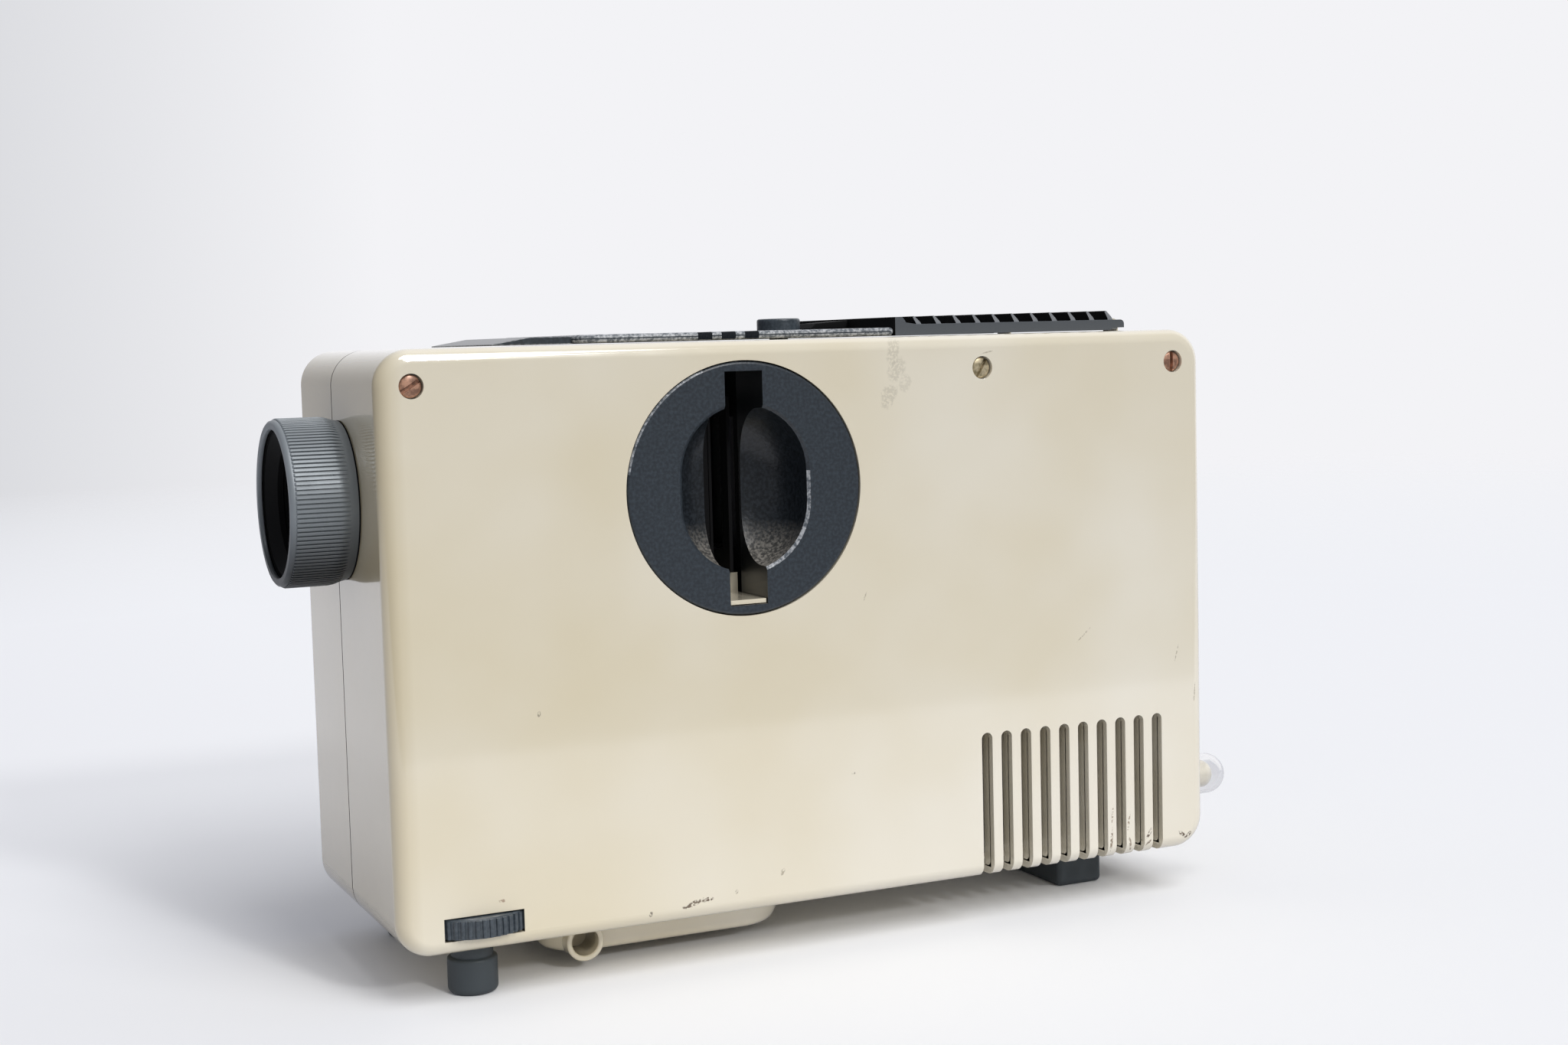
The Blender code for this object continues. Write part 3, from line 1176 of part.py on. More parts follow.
def condenser_lens(name, start_x, bulge_rearwards):
    """A round lens across the square tunnel, with one flat and one domed side."""
    edge = GLASS_EDGE
    radius = HOUSING_HALF - HOUSING_WALL - GAP
    steps = 4
    bulge = CONDENSER_THICKNESS - edge
    curve = (radius ** 2 + bulge ** 2) / (2 * bulge)
    points = []
    for i in range(steps + 1):
        r = radius * i / steps
        points.append((r, edge + bulge - (curve - math.sqrt(curve ** 2 - r ** 2))))
    profile = points + [(radius, 0), (0, 0)]
    if bulge_rearwards:
        turn, at = (0, math.pi / 2, 0), (start_x, AXIS_Y, AXIS_Z)
    else:
        turn, at = TOWARDS_LENS, (start_x + CONDENSER_THICKNESS, AXIS_Y, AXIS_Z)
    return turned(name, profile, GLASS, at, turn, 24)


def build_heat_filter(start_x):
    half = HOUSING_HALF - HOUSING_WALL - GAP
    return block("heat_filter", (start_x, AXIS_Y - half, AXIS_Z - half),
                 (start_x + FILTER_THICKNESS, AXIS_Y + half, AXIS_Z + half), FILTER_GLASS)


def build_lamp():
    """A capsule lamp: quartz bulb on a flat pinch, two pins down into the socket."""
    pinch_top = LAMP_Z - BULB_HEIGHT / 2
    bulb_top = pinch_top + BULB_HEIGHT
    dome = arc(BULB_RADIUS, 90, 0, 6, (0, bulb_top - BULB_RADIUS - pinch_top))
    profile = [(max(r, 0), h) for r, h in dome]
    profile[0] = (0, profile[0][1])
    profile += [(BULB_RADIUS, BULB_RADIUS / 2), (PINCH_THICKNESS / 2, 0), (0, 0)]
    lamp = turned("lamp", profile, GLASS, (LAMP_X, AXIS_Y, pinch_top), steps=16)
    pinch = tool_block("lamp_pinch",
                       (LAMP_X - PINCH_THICKNESS / 2, AXIS_Y - PINCH_WIDTH / 2, pinch_top - PINCH_HEIGHT),
                       (LAMP_X + PINCH_THICKNESS / 2, AXIS_Y + PINCH_WIDTH / 2, pinch_top + BOND))
    pins = [tool_rod(f"lamp_pin_{i}", LAMP_PIN_RADIUS,
                     (LAMP_X, AXIS_Y + side * LAMP_PIN_SPACING / 2,
                      pinch_top - PINCH_HEIGHT - LAMP_PIN_LENGTH), LAMP_PIN_LENGTH + BOND, "Z", 10)
            for i, side in enumerate((-1, 1))]
    join(lamp, pinch, *pins)
    build_socket(pinch_top - PINCH_HEIGHT - GAP)


def build_socket(top):
    """The ceramic socket with two pin holes, and the bracket that carries it."""
    half = SOCKET_SIDE / 2
    socket = block("lamp_socket", (LAMP_X - half, AXIS_Y - half, top - SOCKET_HEIGHT),
                   (LAMP_X + half, AXIS_Y + half, top), CERAMIC, edge=PORT_EDGE, edge_steps=1)
    holes = [tool_rod(f"socket_hole_{i}", LAMP_PIN_RADIUS + GAP,
                      (LAMP_X, AXIS_Y + side * LAMP_PIN_SPACING / 2, top - LAMP_PIN_LENGTH - GAP),
                      LAMP_PIN_LENGTH + OVERRUN, "Z", 10) for i, side in enumerate((-1, 1))]
    cut(socket, *holes)
    under = top - SOCKET_HEIGHT - GAP
    house_half = LAMP_HOUSE_WIDTH / 2 - LAMP_HOUSE_WALL - GAP
    block("lamp_bracket", (LAMP_X - half, -house_half, under - CHASSIS_THICKNESS),
          (LAMP_X + half, house_half, under), STEEL)
    build_reflector(under)


def build_reflector(bracket_top):
    """The concave mirror behind the lamp, on a stem that stands on the lamp bracket's tail."""
    vertex_x = LAMP_X + REFLECTOR_FROM_LAMP
    steps = 5
    angle = math.degrees(math.asin(REFLECTOR_RADIUS / REFLECTOR_CURVE))
    outer, inner = [], []
    for i in range(steps + 1):
        a = math.radians(angle * i / steps)
        for points, radius in ((outer, REFLECTOR_CURVE + REFLECTOR_WALL), (inner, REFLECTOR_CURVE)):
            points.append((radius * math.sin(a), REFLECTOR_CURVE - radius * math.cos(a)))
    dish = turned("reflector", inner + list(reversed(outer)), MIRROR,
                  (vertex_x, AXIS_Y, AXIS_Z), TOWARDS_LENS, 24)
    width = REFLECTOR_WALL * 3
    stem = tool_block("reflector_stem",
                      (vertex_x + REFLECTOR_WALL * 0.7, AXIS_Y - width,
                       bracket_top - CHASSIS_THICKNESS / 2),
                      (vertex_x + 2 * REFLECTOR_WALL, AXIS_Y + width, AXIS_Z))
    house_half = LAMP_HOUSE_WIDTH / 2 - LAMP_HOUSE_WALL - GAP
    shelf = tool_block("reflector_shelf",
                       (vertex_x, -house_half, bracket_top - CHASSIS_THICKNESS),
                       (vertex_x + 6 * REFLECTOR_WALL, house_half, bracket_top))
    return join(dish, stem, shelf)


def build_lamp_house():
    """A sheet-metal chimney round the lamp, open above the fan and under the louvres."""
    low = FAN_Z + FAN_HEIGHT + SHROUD_PLATE + GAP
    high = TOP_Z - LAMP_HOUSE_CLEAR_TOP
    outer = (LAMP_HOUSE_LENGTH / 2, LAMP_HOUSE_WIDTH / 2)
    inner = (outer[0] - LAMP_HOUSE_WALL, outer[1] - LAMP_HOUSE_WALL)
    house = outline_plate("lamp_house", [rectangle(*outer), rectangle(*inner)], high - low, STEEL,
                          (LAMP_HOUSE_X, 0, (low + high) / 2))
    window = tool_rod("lamp_window", LIGHT_RADIUS, (LAMP_HOUSE_X - outer[0] - OVERRUN, AXIS_Y,
                                                         AXIS_Z), 2 * OVERRUN, "X", 32)
    cut(house, window)
    cut_z = (low + high) / 2
    block("thermal_cutout",
          (LAMP_HOUSE_X + outer[0] + GAP, AXIS_Y - CUTOUT_SIDE / 2, cut_z),
          (LAMP_HOUSE_X + outer[0] + GAP + CUTOUT_THICKNESS, AXIS_Y + CUTOUT_SIDE / 2,
           cut_z + CUTOUT_SIDE), BLACK, edge=PORT_EDGE, edge_steps=1)


# Fan
def build_fan():
    build_motor()
    build_impeller()
    build_shroud()


def build_motor():
    base = CHASSIS_TOP + GAP
    shaft_top = FAN_Z + FAN_HEIGHT - GAP
    profile = [(0, shaft_top), (MOTOR_SHAFT_RADIUS, shaft_top), (MOTOR_SHAFT_RADIUS, base + MOTOR_HEIGHT),
               (MOTOR_RADIUS - GAP * 5, base + MOTOR_HEIGHT),
               (MOTOR_RADIUS, base + MOTOR_HEIGHT - GAP * 5), (MOTOR_RADIUS, base), (0, base)]
    return turned("fan_motor", profile, STEEL, (FAN_X, 0, 0), steps=24)


def build_impeller():
    """A hub with seven pitched blades; it turns on the motor's shaft."""
    hub = rod("fan_impeller", HUB_RADIUS, (FAN_X, 0, FAN_Z), FAN_HEIGHT, "Z", DARK, 28)
    work = bmesh.new()
    for i in range(FAN_BLADES):
        made = bmesh.ops.create_cube(work, size=1)["verts"]
        span = FAN_RADIUS - HUB_RADIUS + BOND * 2
        chord = (FAN_HEIGHT - 4 * GAP) / math.sin(math.radians(FAN_BLADE_ANGLE))
        bmesh.ops.scale(work, vec=(span, chord - FAN_BLADE_THICKNESS * 2, FAN_BLADE_THICKNESS),
                        verts=made)
        bmesh.ops.rotate(work, matrix=Matrix.Rotation(math.radians(FAN_BLADE_ANGLE), 3, "X"),
                         verts=made)
        bmesh.ops.translate(work, vec=(FAN_RADIUS - span / 2 - BOND, 0, FAN_HEIGHT / 2), verts=made)
        bmesh.ops.rotate(work, matrix=Matrix.Rotation(2 * math.pi * i / FAN_BLADES, 3, "Z"),
                         verts=made)
    blades = add_object("fan_blades", finish_mesh(work, "fan_blades"), BLACK, (FAN_X, 0, FAN_Z),
                        collection=CUTTERS)
    join(hub, blades)
    bore = tool_rod("impeller_bore", MOTOR_SHAFT_RADIUS + GAP, (FAN_X, 0, FAN_Z - OVERRUN),
                    FAN_HEIGHT + 2 * OVERRUN, "Z")
    return cut(hub, bore)


def build_shroud():
    """A plate with a round collar for the fan, on four legs that stand on the chassis."""
    half_length = LAMP_HOUSE_LENGTH / 2
    half_width = LAMP_HOUSE_WIDTH / 2
    top = FAN_Z + FAN_HEIGHT + SHROUD_PLATE
    throat = FAN_RADIUS + FAN_CLEARANCE
    plate = block("fan_shroud", (LAMP_HOUSE_X - half_length, -half_width, top - SHROUD_PLATE),
                  (LAMP_HOUSE_X + half_length, half_width, top), BLACK)
    collar = tool_rod("shroud_collar", throat + SHROUD_WALL, (FAN_X, 0, FAN_Z), FAN_HEIGHT
                      + SHROUD_PLATE / 2, "Z", ROUND_STEPS)
    legs = []
    for i, (sx, sy) in enumerate(((-1, -1), (1, -1), (1, 1), (-1, 1))):
        x = LAMP_HOUSE_X + sx * (half_length - POST_RADIUS)
        y = sy * (half_width - POST_RADIUS)
        legs.append(tool_rod(f"shroud_leg_{i}", POST_RADIUS - GAP, (x, y, CHASSIS_TOP + GAP),
                             top - SHROUD_PLATE / 2 - CHASSIS_TOP - GAP, "Z", 12))
    join(plate, collar, *legs)
    return cut(plate, tool_rod("shroud_throat", throat, (FAN_X, 0, FAN_Z - OVERRUN),
                               FAN_HEIGHT + SHROUD_PLATE + 2 * OVERRUN, "Z", ROUND_STEPS))


# Chassis and electrical pieces
def build_chassis():
    return block("chassis_plate",
                 (FRONT_X + CHASSIS_FROM_FRONT, NEAR_Y + CHASSIS_INSET, CHASSIS_Z),
                 (REAR_X - CHASSIS_REAR_GAP, FAR_Y - CHASSIS_INSET, CHASSIS_TOP), STEEL)


def build_transformer():
    """An E-I core with a window each side of the middle limb, its coil, and a clamp."""
    centre_x = FRONT_X + CORE_FROM_FRONT + CORE_LENGTH / 2
    base = CHASSIS_TOP + GAP
    centre_z = base + CORE_HEIGHT / 2
    window = ((CORE_LENGTH / 2 - 2 * CORE_LIMB) / 2, CORE_HEIGHT / 2 - CORE_LIMB)
    offset = CORE_LIMB + window[0]
    outlines = [rectangle(CORE_LENGTH / 2, CORE_HEIGHT / 2),
                rectangle(*window, (-offset, 0)), rectangle(*window, (offset, 0))]
    outline_plate("transformer_core", outlines, CORE_STACK, LAMINATION, (centre_x, 0, centre_z),
                  UPRIGHT)
    outer = (CORE_LIMB + 2 * window[0] - GAP, CORE_STACK / 2 + COIL_OVERHANG)
    inner = (CORE_LIMB + GAP, CORE_STACK / 2 + GAP)
    outline_plate("transformer_coil", [rectangle(*outer), rectangle(*inner)],
                  2 * (window[1] - GAP), COPPER, (centre_x, 0, centre_z))
    build_clamp(centre_x, base)


def build_clamp(centre_x, base):
    """A steel band over the core, with a foot each side."""
    inner = CORE_LENGTH / 2 + GAP
    outer = inner + CLAMP_THICKNESS
    top = base + CORE_HEIGHT + GAP
    foot = base + CLAMP_THICKNESS
    points = [(-outer - CLAMP_FOOT, base), (-inner, base), (-inner, top), (inner, top),
              (inner, base), (outer + CLAMP_FOOT, base), (outer + CLAMP_FOOT, foot),
              (outer, foot), (outer, top + CLAMP_THICKNESS), (-outer, top + CLAMP_THICKNESS),
              (-outer, foot), (-outer - CLAMP_FOOT, foot)]
    return outline_plate("transformer_clamp", [points], CORE_STACK / 2, STEEL, (centre_x, 0, 0),
                         UPRIGHT)


def build_terminals():
    x = FRONT_X + CORE_FROM_FRONT + CORE_LENGTH + CLAMP_FOOT + TERMINAL_WIDTH
    base = CHASSIS_TOP + GAP
    far = FAR_Y - CHASSIS_INSET - TERMINAL_FROM_EDGE
    near = AXIS_Y + CONDENSER_THICKNESS / 2 + TERMINAL_TO_LEG
    body = block("terminal_block", (x, near, base),
                 (x + TERMINAL_WIDTH, far, base + TERMINAL_HEIGHT), CERAMIC)
    step = (far - near) / TERMINAL_WAYS
    wells = [tool_rod(f"terminal_well_{i}", step / 4,
                      (x + TERMINAL_WIDTH / 2, near + (i + 0.5) * step, base + TERMINAL_HEIGHT / 2),
                      TERMINAL_HEIGHT, "Z", 12)
             for i in range(TERMINAL_WAYS)]
    return cut(body, *wells)


# Mains inlet
def inlet_places():
    bumper_edge = FAR_Y - BUMPER_FROM_SIDE - BUMPER_RADIUS
    y = bumper_edge - INLET_TO_BUMPER - INLET_FLANGE - INLET_WIDTH / 2
    return y, BASE_Z + INLET_ABOVE_BASE


def inlet_hole_tool():
    y, z = inlet_places()
    half = (INLET_WIDTH / 2 + GAP, INLET_HEIGHT / 2 + GAP)
    return tool_block("inlet_hole", (REAR_X - WALL - OVERRUN, y - half[0], z - half[1]),
                      (REAR_X + OVERRUN, y + half[0], z + half[1]))


def build_inlet():
    """The appliance inlet in the rear wall, with its two contact pins."""
    y, z = inlet_places()
    half = (INLET_WIDTH / 2, INLET_HEIGHT / 2)
    rear = REAR_X + INLET_FLANGE / 2
    front = REAR_X - INLET_DEPTH
    body = block("mains_inlet", (front, y - half[0], z - half[1]), (rear, y + half[0], z + half[1]),
                 BLACK)
    flange = tool_block("inlet_flange",
                        (REAR_X + GAP, y - half[0] - INLET_FLANGE, z - half[1] - INLET_FLANGE),
                        (rear, y + half[0] + INLET_FLANGE, z + half[1] + INLET_FLANGE))
    join(body, flange)
    mouth = tool_block("inlet_mouth", (front + INLET_FLANGE, y - half[0] + INLET_FLANGE,
                                       z - half[1] + INLET_FLANGE),
                       (rear + OVERRUN, y + half[0] - INLET_FLANGE, z + half[1] - INLET_FLANGE))
    holes = [tool_rod(f"inlet_pin_hole_{i}", INLET_PIN_RADIUS + GAP,
                      (front - OVERRUN, y + side * INLET_PIN_SPACING / 2, z),
                      INLET_FLANGE + 2 * OVERRUN, "X", 16) for i, side in enumerate((-1, 1))]
    cut(body, mouth, *holes)
    length = INLET_FLANGE + INLET_PIN_LENGTH
    for label, side in (("near", -1), ("far", 1)):
        rod(f"{label}_inlet_pin", INLET_PIN_RADIUS, (front, y + side * INLET_PIN_SPACING / 2, z),
            length, "X", STEEL, 16)


# Bumpers
def bumper_place(label):
    y = NEAR_Y + BUMPER_FROM_SIDE if label == "near" else FAR_Y - BUMPER_FROM_SIDE
    return y, BASE_Z + BUMPER_ABOVE_BASE


def bumper_hole_tool(label):
    y, z = bumper_place(label)
    return tool_rod(f"{label}_bumper_hole", SCREW_HEAD_RADIUS / 2 + GAP,
                    (REAR_X - WALL - OVERRUN, y, z), WALL + 2 * OVERRUN, "X")


def build_bumper(label):
    """A clear dome over a beige core; the core's peg goes through the rear wall."""
    y, z = bumper_place(label)
    outer = BUMPER_RADIUS
    inner = BUMPER_RADIUS - BUMPER_WALL
    straight = BUMPER_REACH - outer
    shell = [(max(r, 0), h) for r, h in arc(outer, 90, 0, 6, (0, straight))]
    shell[0] = (0, shell[0][1])
    cavity = [(max(r, 0), h) for r, h in arc(inner, 0, 90, 5, (0, straight))]
    cavity[-1] = (0, cavity[-1][1])
    profile = shell + [(outer, GAP), (inner, GAP)] + cavity
    rearwards = (0, math.pi / 2, 0)
    turned(f"{label}_bumper_dome", profile, CLEAR, (REAR_X, y, z), rearwards, 18)
    core = BUMPER_CORE_RADIUS
    tip = [(max(r, 0), h) for r, h in arc(core, 90, 0, 5, (0, straight - BUMPER_WALL))]
    tip[0] = (0, tip[0][1])
    peg = SCREW_HEAD_RADIUS / 2
    flange = inner - GAP
    tail = -WALL - BOND
    points = tip + [(core, BUMPER_WALL + GAP), (flange, BUMPER_WALL + GAP), (flange, GAP), (peg, GAP),
                    (peg, tail), (0, tail)]
    turned(f"{label}_bumper_core", points, BEIGE, (REAR_X, y, z), rearwards, 12)


def settle_parts():
    """Apply each part's modifiers, then shade its round faces smooth and its edges sharp."""
    view = bpy.context.evaluated_depsgraph_get()
    shapes = {made: bpy.data.meshes.new_from_object(made.evaluated_get(view))
              for made in PARTS.objects}
    for made, mesh in shapes.items():
        made.modifiers.clear()
        made.data = mesh
        mesh.name = made.name
        mesh.shade_smooth()
        mesh.set_sharp_from_angle(angle=SMOOTH_ANGLE)


build_shells()
build_case_screws()
build_port("near", NEAR_Y, 1)
build_port("far", FAR_Y, -1)
build_gate()
build_lens()
build_feet()
build_belly()
build_deck()
build_button()
build_power_switch()
build_lid()
build_hinge_pins()
build_condenser()
build_lamp()
build_lamp_house()
build_fan()
build_chassis()
build_transformer()
build_terminals()
build_inlet()
build_bumper("near")
build_bumper("far")
settle_parts()
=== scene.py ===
# %% [markdown]
# # A compact slide projector
# A beige case of two half shells holds a lens in a ribbed focusing ring, a slide port right
# through the case, a push button, a louvred lamp lid and screw feet. The CAD model fixes every
# size and place. This lesson builds the finish on top of it, one piece at a time.

# %% Load the CAD frame
import math

import bmesh
import bpy
from mathutils import Matrix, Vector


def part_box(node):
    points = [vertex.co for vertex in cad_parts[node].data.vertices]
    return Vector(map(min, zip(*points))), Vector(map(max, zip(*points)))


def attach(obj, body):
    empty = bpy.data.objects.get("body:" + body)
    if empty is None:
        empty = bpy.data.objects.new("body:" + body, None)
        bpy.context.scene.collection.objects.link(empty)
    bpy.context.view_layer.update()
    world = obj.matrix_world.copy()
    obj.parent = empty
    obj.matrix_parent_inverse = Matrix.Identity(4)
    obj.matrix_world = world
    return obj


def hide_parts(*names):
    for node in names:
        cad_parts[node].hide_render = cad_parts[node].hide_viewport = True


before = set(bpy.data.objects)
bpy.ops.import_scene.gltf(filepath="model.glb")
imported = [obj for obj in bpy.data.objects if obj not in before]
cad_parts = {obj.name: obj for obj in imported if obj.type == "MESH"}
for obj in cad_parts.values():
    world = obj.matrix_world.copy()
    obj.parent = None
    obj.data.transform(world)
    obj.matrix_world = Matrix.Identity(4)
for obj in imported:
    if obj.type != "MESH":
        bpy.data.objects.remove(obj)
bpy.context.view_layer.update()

# %% [markdown]
# ## Names for the places that several pieces share
# They repeat the CAD sizes: the case, the optical axis, the port's middle, the feet, the button
# and the lid's hinge pins.

# %% Shared places
FRONT_X, REAR_X = -0.12635, 0.12865
NEAR_Y, FAR_Y = -0.045, 0.045
BASE_Z, TOP_Z = 0.0138, 0.1733
SEAM_Y, GAP = 0.004, 0.0003
PORT_X, AXIS_Y, AXIS_Z = -0.02395, -0.0025, 0.1326
WHEEL_X, WHEEL_Y = -0.10305, 0.0319
BUTTON_X, PIN_X, PIN_Z = 0.00795, 0.10505, 0.1753
WALL, OVERRUN = 0.0025, 0.003  # the shells' wall, and how far a tool runs past a face
TOUCH = 1e-5  # places closer than this are the same
print("case runs", round((REAR_X - FRONT_X) * 1000, 1), "mm along X")

# %% [markdown]
# ## Small helpers for meshes
# Each piece starts as a bmesh, a turned profile or a flat outline. `settle` applies its
# modifiers, so that the piece stands at the origin with its place in its mesh. A weighted
# normal keeps large flat faces flat beside their rounded edges.

# %% Mesh helpers
def add_object(name, data):
    made = bpy.data.objects.new(name, data)
    bpy.context.scene.collection.objects.link(made)
    return made


def mesh_object(name, work):
    """An object from a bmesh, with its faces turned outwards."""
    bmesh.ops.recalc_face_normals(work, faces=work.faces)
    mesh = bpy.data.meshes.new(name)
    work.to_mesh(mesh)
    work.free()
    return add_object(name, mesh)


def from_bmesh(name, work):
    bmesh.ops.remove_doubles(work, verts=work.verts, dist=0.000005)
    return mesh_object(name, work)


def apply_modifiers(made):
    view = bpy.context.evaluated_depsgraph_get()
    mesh = bpy.data.meshes.new_from_object(made.evaluated_get(view), depsgraph=view)
    made.modifiers.clear()
    made.data = mesh
    return made


def settle(made, angle=30.0):
    """Apply modifiers and place, then shade by angle with even normals."""
    if made.modifiers:
        apply_modifiers(made)
    made.data.transform(made.matrix_basis)
    made.matrix_basis = Matrix.Identity(4)
    made.data.shade_smooth()
    made.data.set_sharp_from_angle(angle=math.radians(angle))
    made.modifiers.new("even_normals", "WEIGHTED_NORMAL").keep_sharp = True
    apply_modifiers(made)
    made.data.name = made.name
    return made


def joined(name, pieces):
    """One object from several, each already in place."""
    work = bmesh.new()
    for piece in pieces:
        piece.data.transform(piece.matrix_basis)
        work.from_mesh(piece.data)
        bpy.data.objects.remove(piece)
    return mesh_object(name, work)


def bevel(made, width, segments=3, angle=35.0, surfaces=()):
    """Round the edges. With two surfaces, the rounded faces take the second one."""
    for surface in surfaces:
        made.data.materials.append(surface)
    edge = made.modifiers.new("edge", "BEVEL")
    edge.material = len(surfaces) - 1
    edge.width = width
    edge.segments = segments
    edge.limit_method = "ANGLE"
    edge.angle_limit = math.radians(angle)
    edge.harden_normals = False
    return made


# %% Shape helpers
def cube(low, high):
    """A bmesh box between two corners."""
    work = bmesh.new()
    bmesh.ops.create_cube(work, size=1)
    bmesh.ops.scale(work, vec=[high[i] - low[i] for i in range(3)], verts=work.verts)
    bmesh.ops.translate(work, vec=[(high[i] + low[i]) / 2 for i in range(3)], verts=work.verts)
    return work


def round_edges(work, edges, radius, segments):
    bmesh.ops.bevel(work, geom=edges, offset=radius, segments=segments, profile=0.5,
                    affect="EDGES")


def block(name, low, high, edge=0.0, segments=3):
    work = cube(low, high)
    if edge:
        round_edges(work, work.edges[:], edge, segments)
    return from_bmesh(name, work)


AXES = {"X": Matrix.Rotation(math.pi / 2, 4, "Y"), "Y": Matrix.Rotation(-math.pi / 2, 4, "X"),
        "Z": Matrix.Identity(4), "-X": Matrix.Rotation(-math.pi / 2, 4, "Y"),
        "-Y": Matrix.Rotation(math.pi / 2, 4, "X")}


def bridge(work, a, b):
    """Faces between two rings of vertices. A ring of one vertex is a tip."""
    count = max(len(a), len(b))
    for i in range(count):
        j = (i + 1) % count
        corners = dict.fromkeys((a[i % len(a)], a[j % len(a)], b[j % len(b)], b[i % len(b)]))
        if len(corners) > 2:
            work.faces.new(list(corners))


def turned(name, profile, at, axis, steps=96, closed=False):
    """Spin (radius, height) points, given down the outer side, about an axis through at."""
    work = bmesh.new()
    turns = [2 * math.pi * i / steps for i in range(steps)]
    rings = [[work.verts.new((r * math.cos(turn), r * math.sin(turn), h))
              for turn in (turns[:1] if r < TOUCH else turns)] for r, h in profile]
    for a, b in zip(rings, rings[1:]):
        bridge(work, a, b)
    if closed:
        bridge(work, rings[-1], rings[0])
    bmesh.ops.transform(work, matrix=Matrix.Translation(at) @ AXES[axis], verts=work.verts)
    return from_bmesh(name, work)


def prism(name, outline, low, high, place):
    """Draw an outline out from low to high; place turns (u, v, depth) into a world point."""
    work = bmesh.new()
    bottom, top = ([work.verts.new(place(u, v, depth)) for u, v in outline]
                   for depth in (low, high))
    work.faces.new(bottom)
    work.faces.new(list(reversed(top)))
    for i in range(len(outline)):
        j = (i + 1) % len(outline)
        work.faces.new((bottom[i], top[i], top[j], bottom[j]))
    return from_bmesh(name, work)


def arc(radius, first, last, count, centre=(0.0, 0.0)):
    step = (last - first) / (count - 1)
    angles = [math.radians(first + step * i) for i in range(count)]
    return [(centre[0] + radius * math.cos(a), centre[1] + radius * math.sin(a)) for a in angles]


def side_view(u, v, depth):
    """An outline drawn in X and Z, as seen from the near side."""
    return (u, depth, v)


def plan_view(u, v, depth):
    """An outline drawn in X and Y, as seen from above."""
    return (u, v, depth)


def cut(target, tools):
    """Take the tools away from the target, then drop them."""
    for tool in tools:
        change = target.modifiers.new(tool.name, "BOOLEAN")
        change.operation = "DIFFERENCE"
        change.solver = "EXACT"
        change.object = tool
    apply_modifiers(target)
    for tool in tools:
        bpy.data.objects.remove(tool)
    return target


# %% [markdown]
# ## Repeats by Geometry Nodes
# Ribs, vents, fins and grooves are one drawn shape, copied by a rule. One node group sets
# copies round an axis and the other sets them in a row. Both end with real geometry and the
# material, so each finished piece stays a single mesh.

# %% Node helpers
def add_node(tree, kind, values=None, **settings):
    made = tree.nodes.new(kind)
    for key, value in settings.items():
        setattr(made, key, value)
    for key, value in (values or {}).items():
        made.inputs[key].default_value = value
    return made


def link(tree, *pairs):
    """Link sockets, given in pairs from an output to an input."""
    for start, end in pairs:
        tree.links.new(start, end)


def combined(tree, operation, first, second):
    """A sum, product or other operation on two sockets."""
    made = add_node(tree, "ShaderNodeMath", operation=operation)
    link(tree, (first, made.inputs[0]), (second, made.inputs[1]))
    return made.outputs[0]


# %% Node groups for repeats
def copies_group(name, *sockets):
    """A group that sets Count copies on a line of points, makes them real and paints them."""
    tree = bpy.data.node_groups.new(name, "GeometryNodeTree")
    for label, kind, default in (("Geometry", "Geometry", None), ("Count", "Int", 10),
                                 ("Material", "Material", None), *sockets):
        made = tree.interface.new_socket(label, in_out="INPUT", socket_type="NodeSocket" + kind)
        if default is not None:
            made.default_value = default
    tree.interface.new_socket("Geometry", in_out="OUTPUT", socket_type="NodeSocketGeometry")
    start, end = add_node(tree, "NodeGroupInput"), add_node(tree, "NodeGroupOutput")
    line = add_node(tree, "GeometryNodeMeshLine", mode="OFFSET")
    place = add_node(tree, "GeometryNodeInstanceOnPoints")
    real = add_node(tree, "GeometryNodeRealizeInstances")
    paint = add_node(tree, "GeometryNodeSetMaterial")
    link(tree, (start.outputs["Count"], line.inputs["Count"]),
         (line.outputs[0], place.inputs["Points"]),
         (start.outputs["Geometry"], place.inputs["Instance"]),
         (place.outputs[0], real.inputs[0]),
         (real.outputs[0], paint.inputs["Geometry"]),
         (start.outputs["Material"], paint.inputs["Material"]),
         (paint.outputs[0], end.inputs[0]))
    return tree, start, line, place


def row_group():
    """Copies in a straight row, each one step on from the last and a little taller."""
    tree, start, line, place = copies_group(
        "copies_in_a_row", ("Step", "Vector", (0.0, 0.0, 0.0)), ("Growth", "Float", 0.0))
    index = add_node(tree, "GeometryNodeInputIndex")
    grow = add_node(tree, "ShaderNodeMath", {2: 1.0}, operation="MULTIPLY_ADD")
    scale = add_node(tree, "ShaderNodeCombineXYZ", {"X": 1.0, "Y": 1.0})
    link(tree, (start.outputs["Step"], line.inputs["Offset"]),
         (index.outputs[0], grow.inputs[0]), (start.outputs["Growth"], grow.inputs[1]),
         (grow.outputs[0], scale.inputs["Z"]), (scale.outputs[0], place.inputs["Scale"]))
    return tree


def ring_group():
    """Copies round the local Z axis, evenly spread."""
    tree, start, line, place = copies_group("copies_in_a_ring")
    line.inputs["Offset"].default_value = (0.0, 0.0, 0.0)
    index = add_node(tree, "GeometryNodeInputIndex")
    share = combined(tree, "DIVIDE", index.outputs[0], start.outputs["Count"])
    turn = add_node(tree, "ShaderNodeMath", {1: 2 * math.pi}, operation="MULTIPLY")
    spin = add_node(tree, "ShaderNodeCombineXYZ")
    link(tree, (share, turn.inputs[0]), (turn.outputs[0], spin.inputs["Z"]),
         (spin.outputs[0], place.inputs["Rotation"]))
    return tree


ROW, RING = row_group(), ring_group()


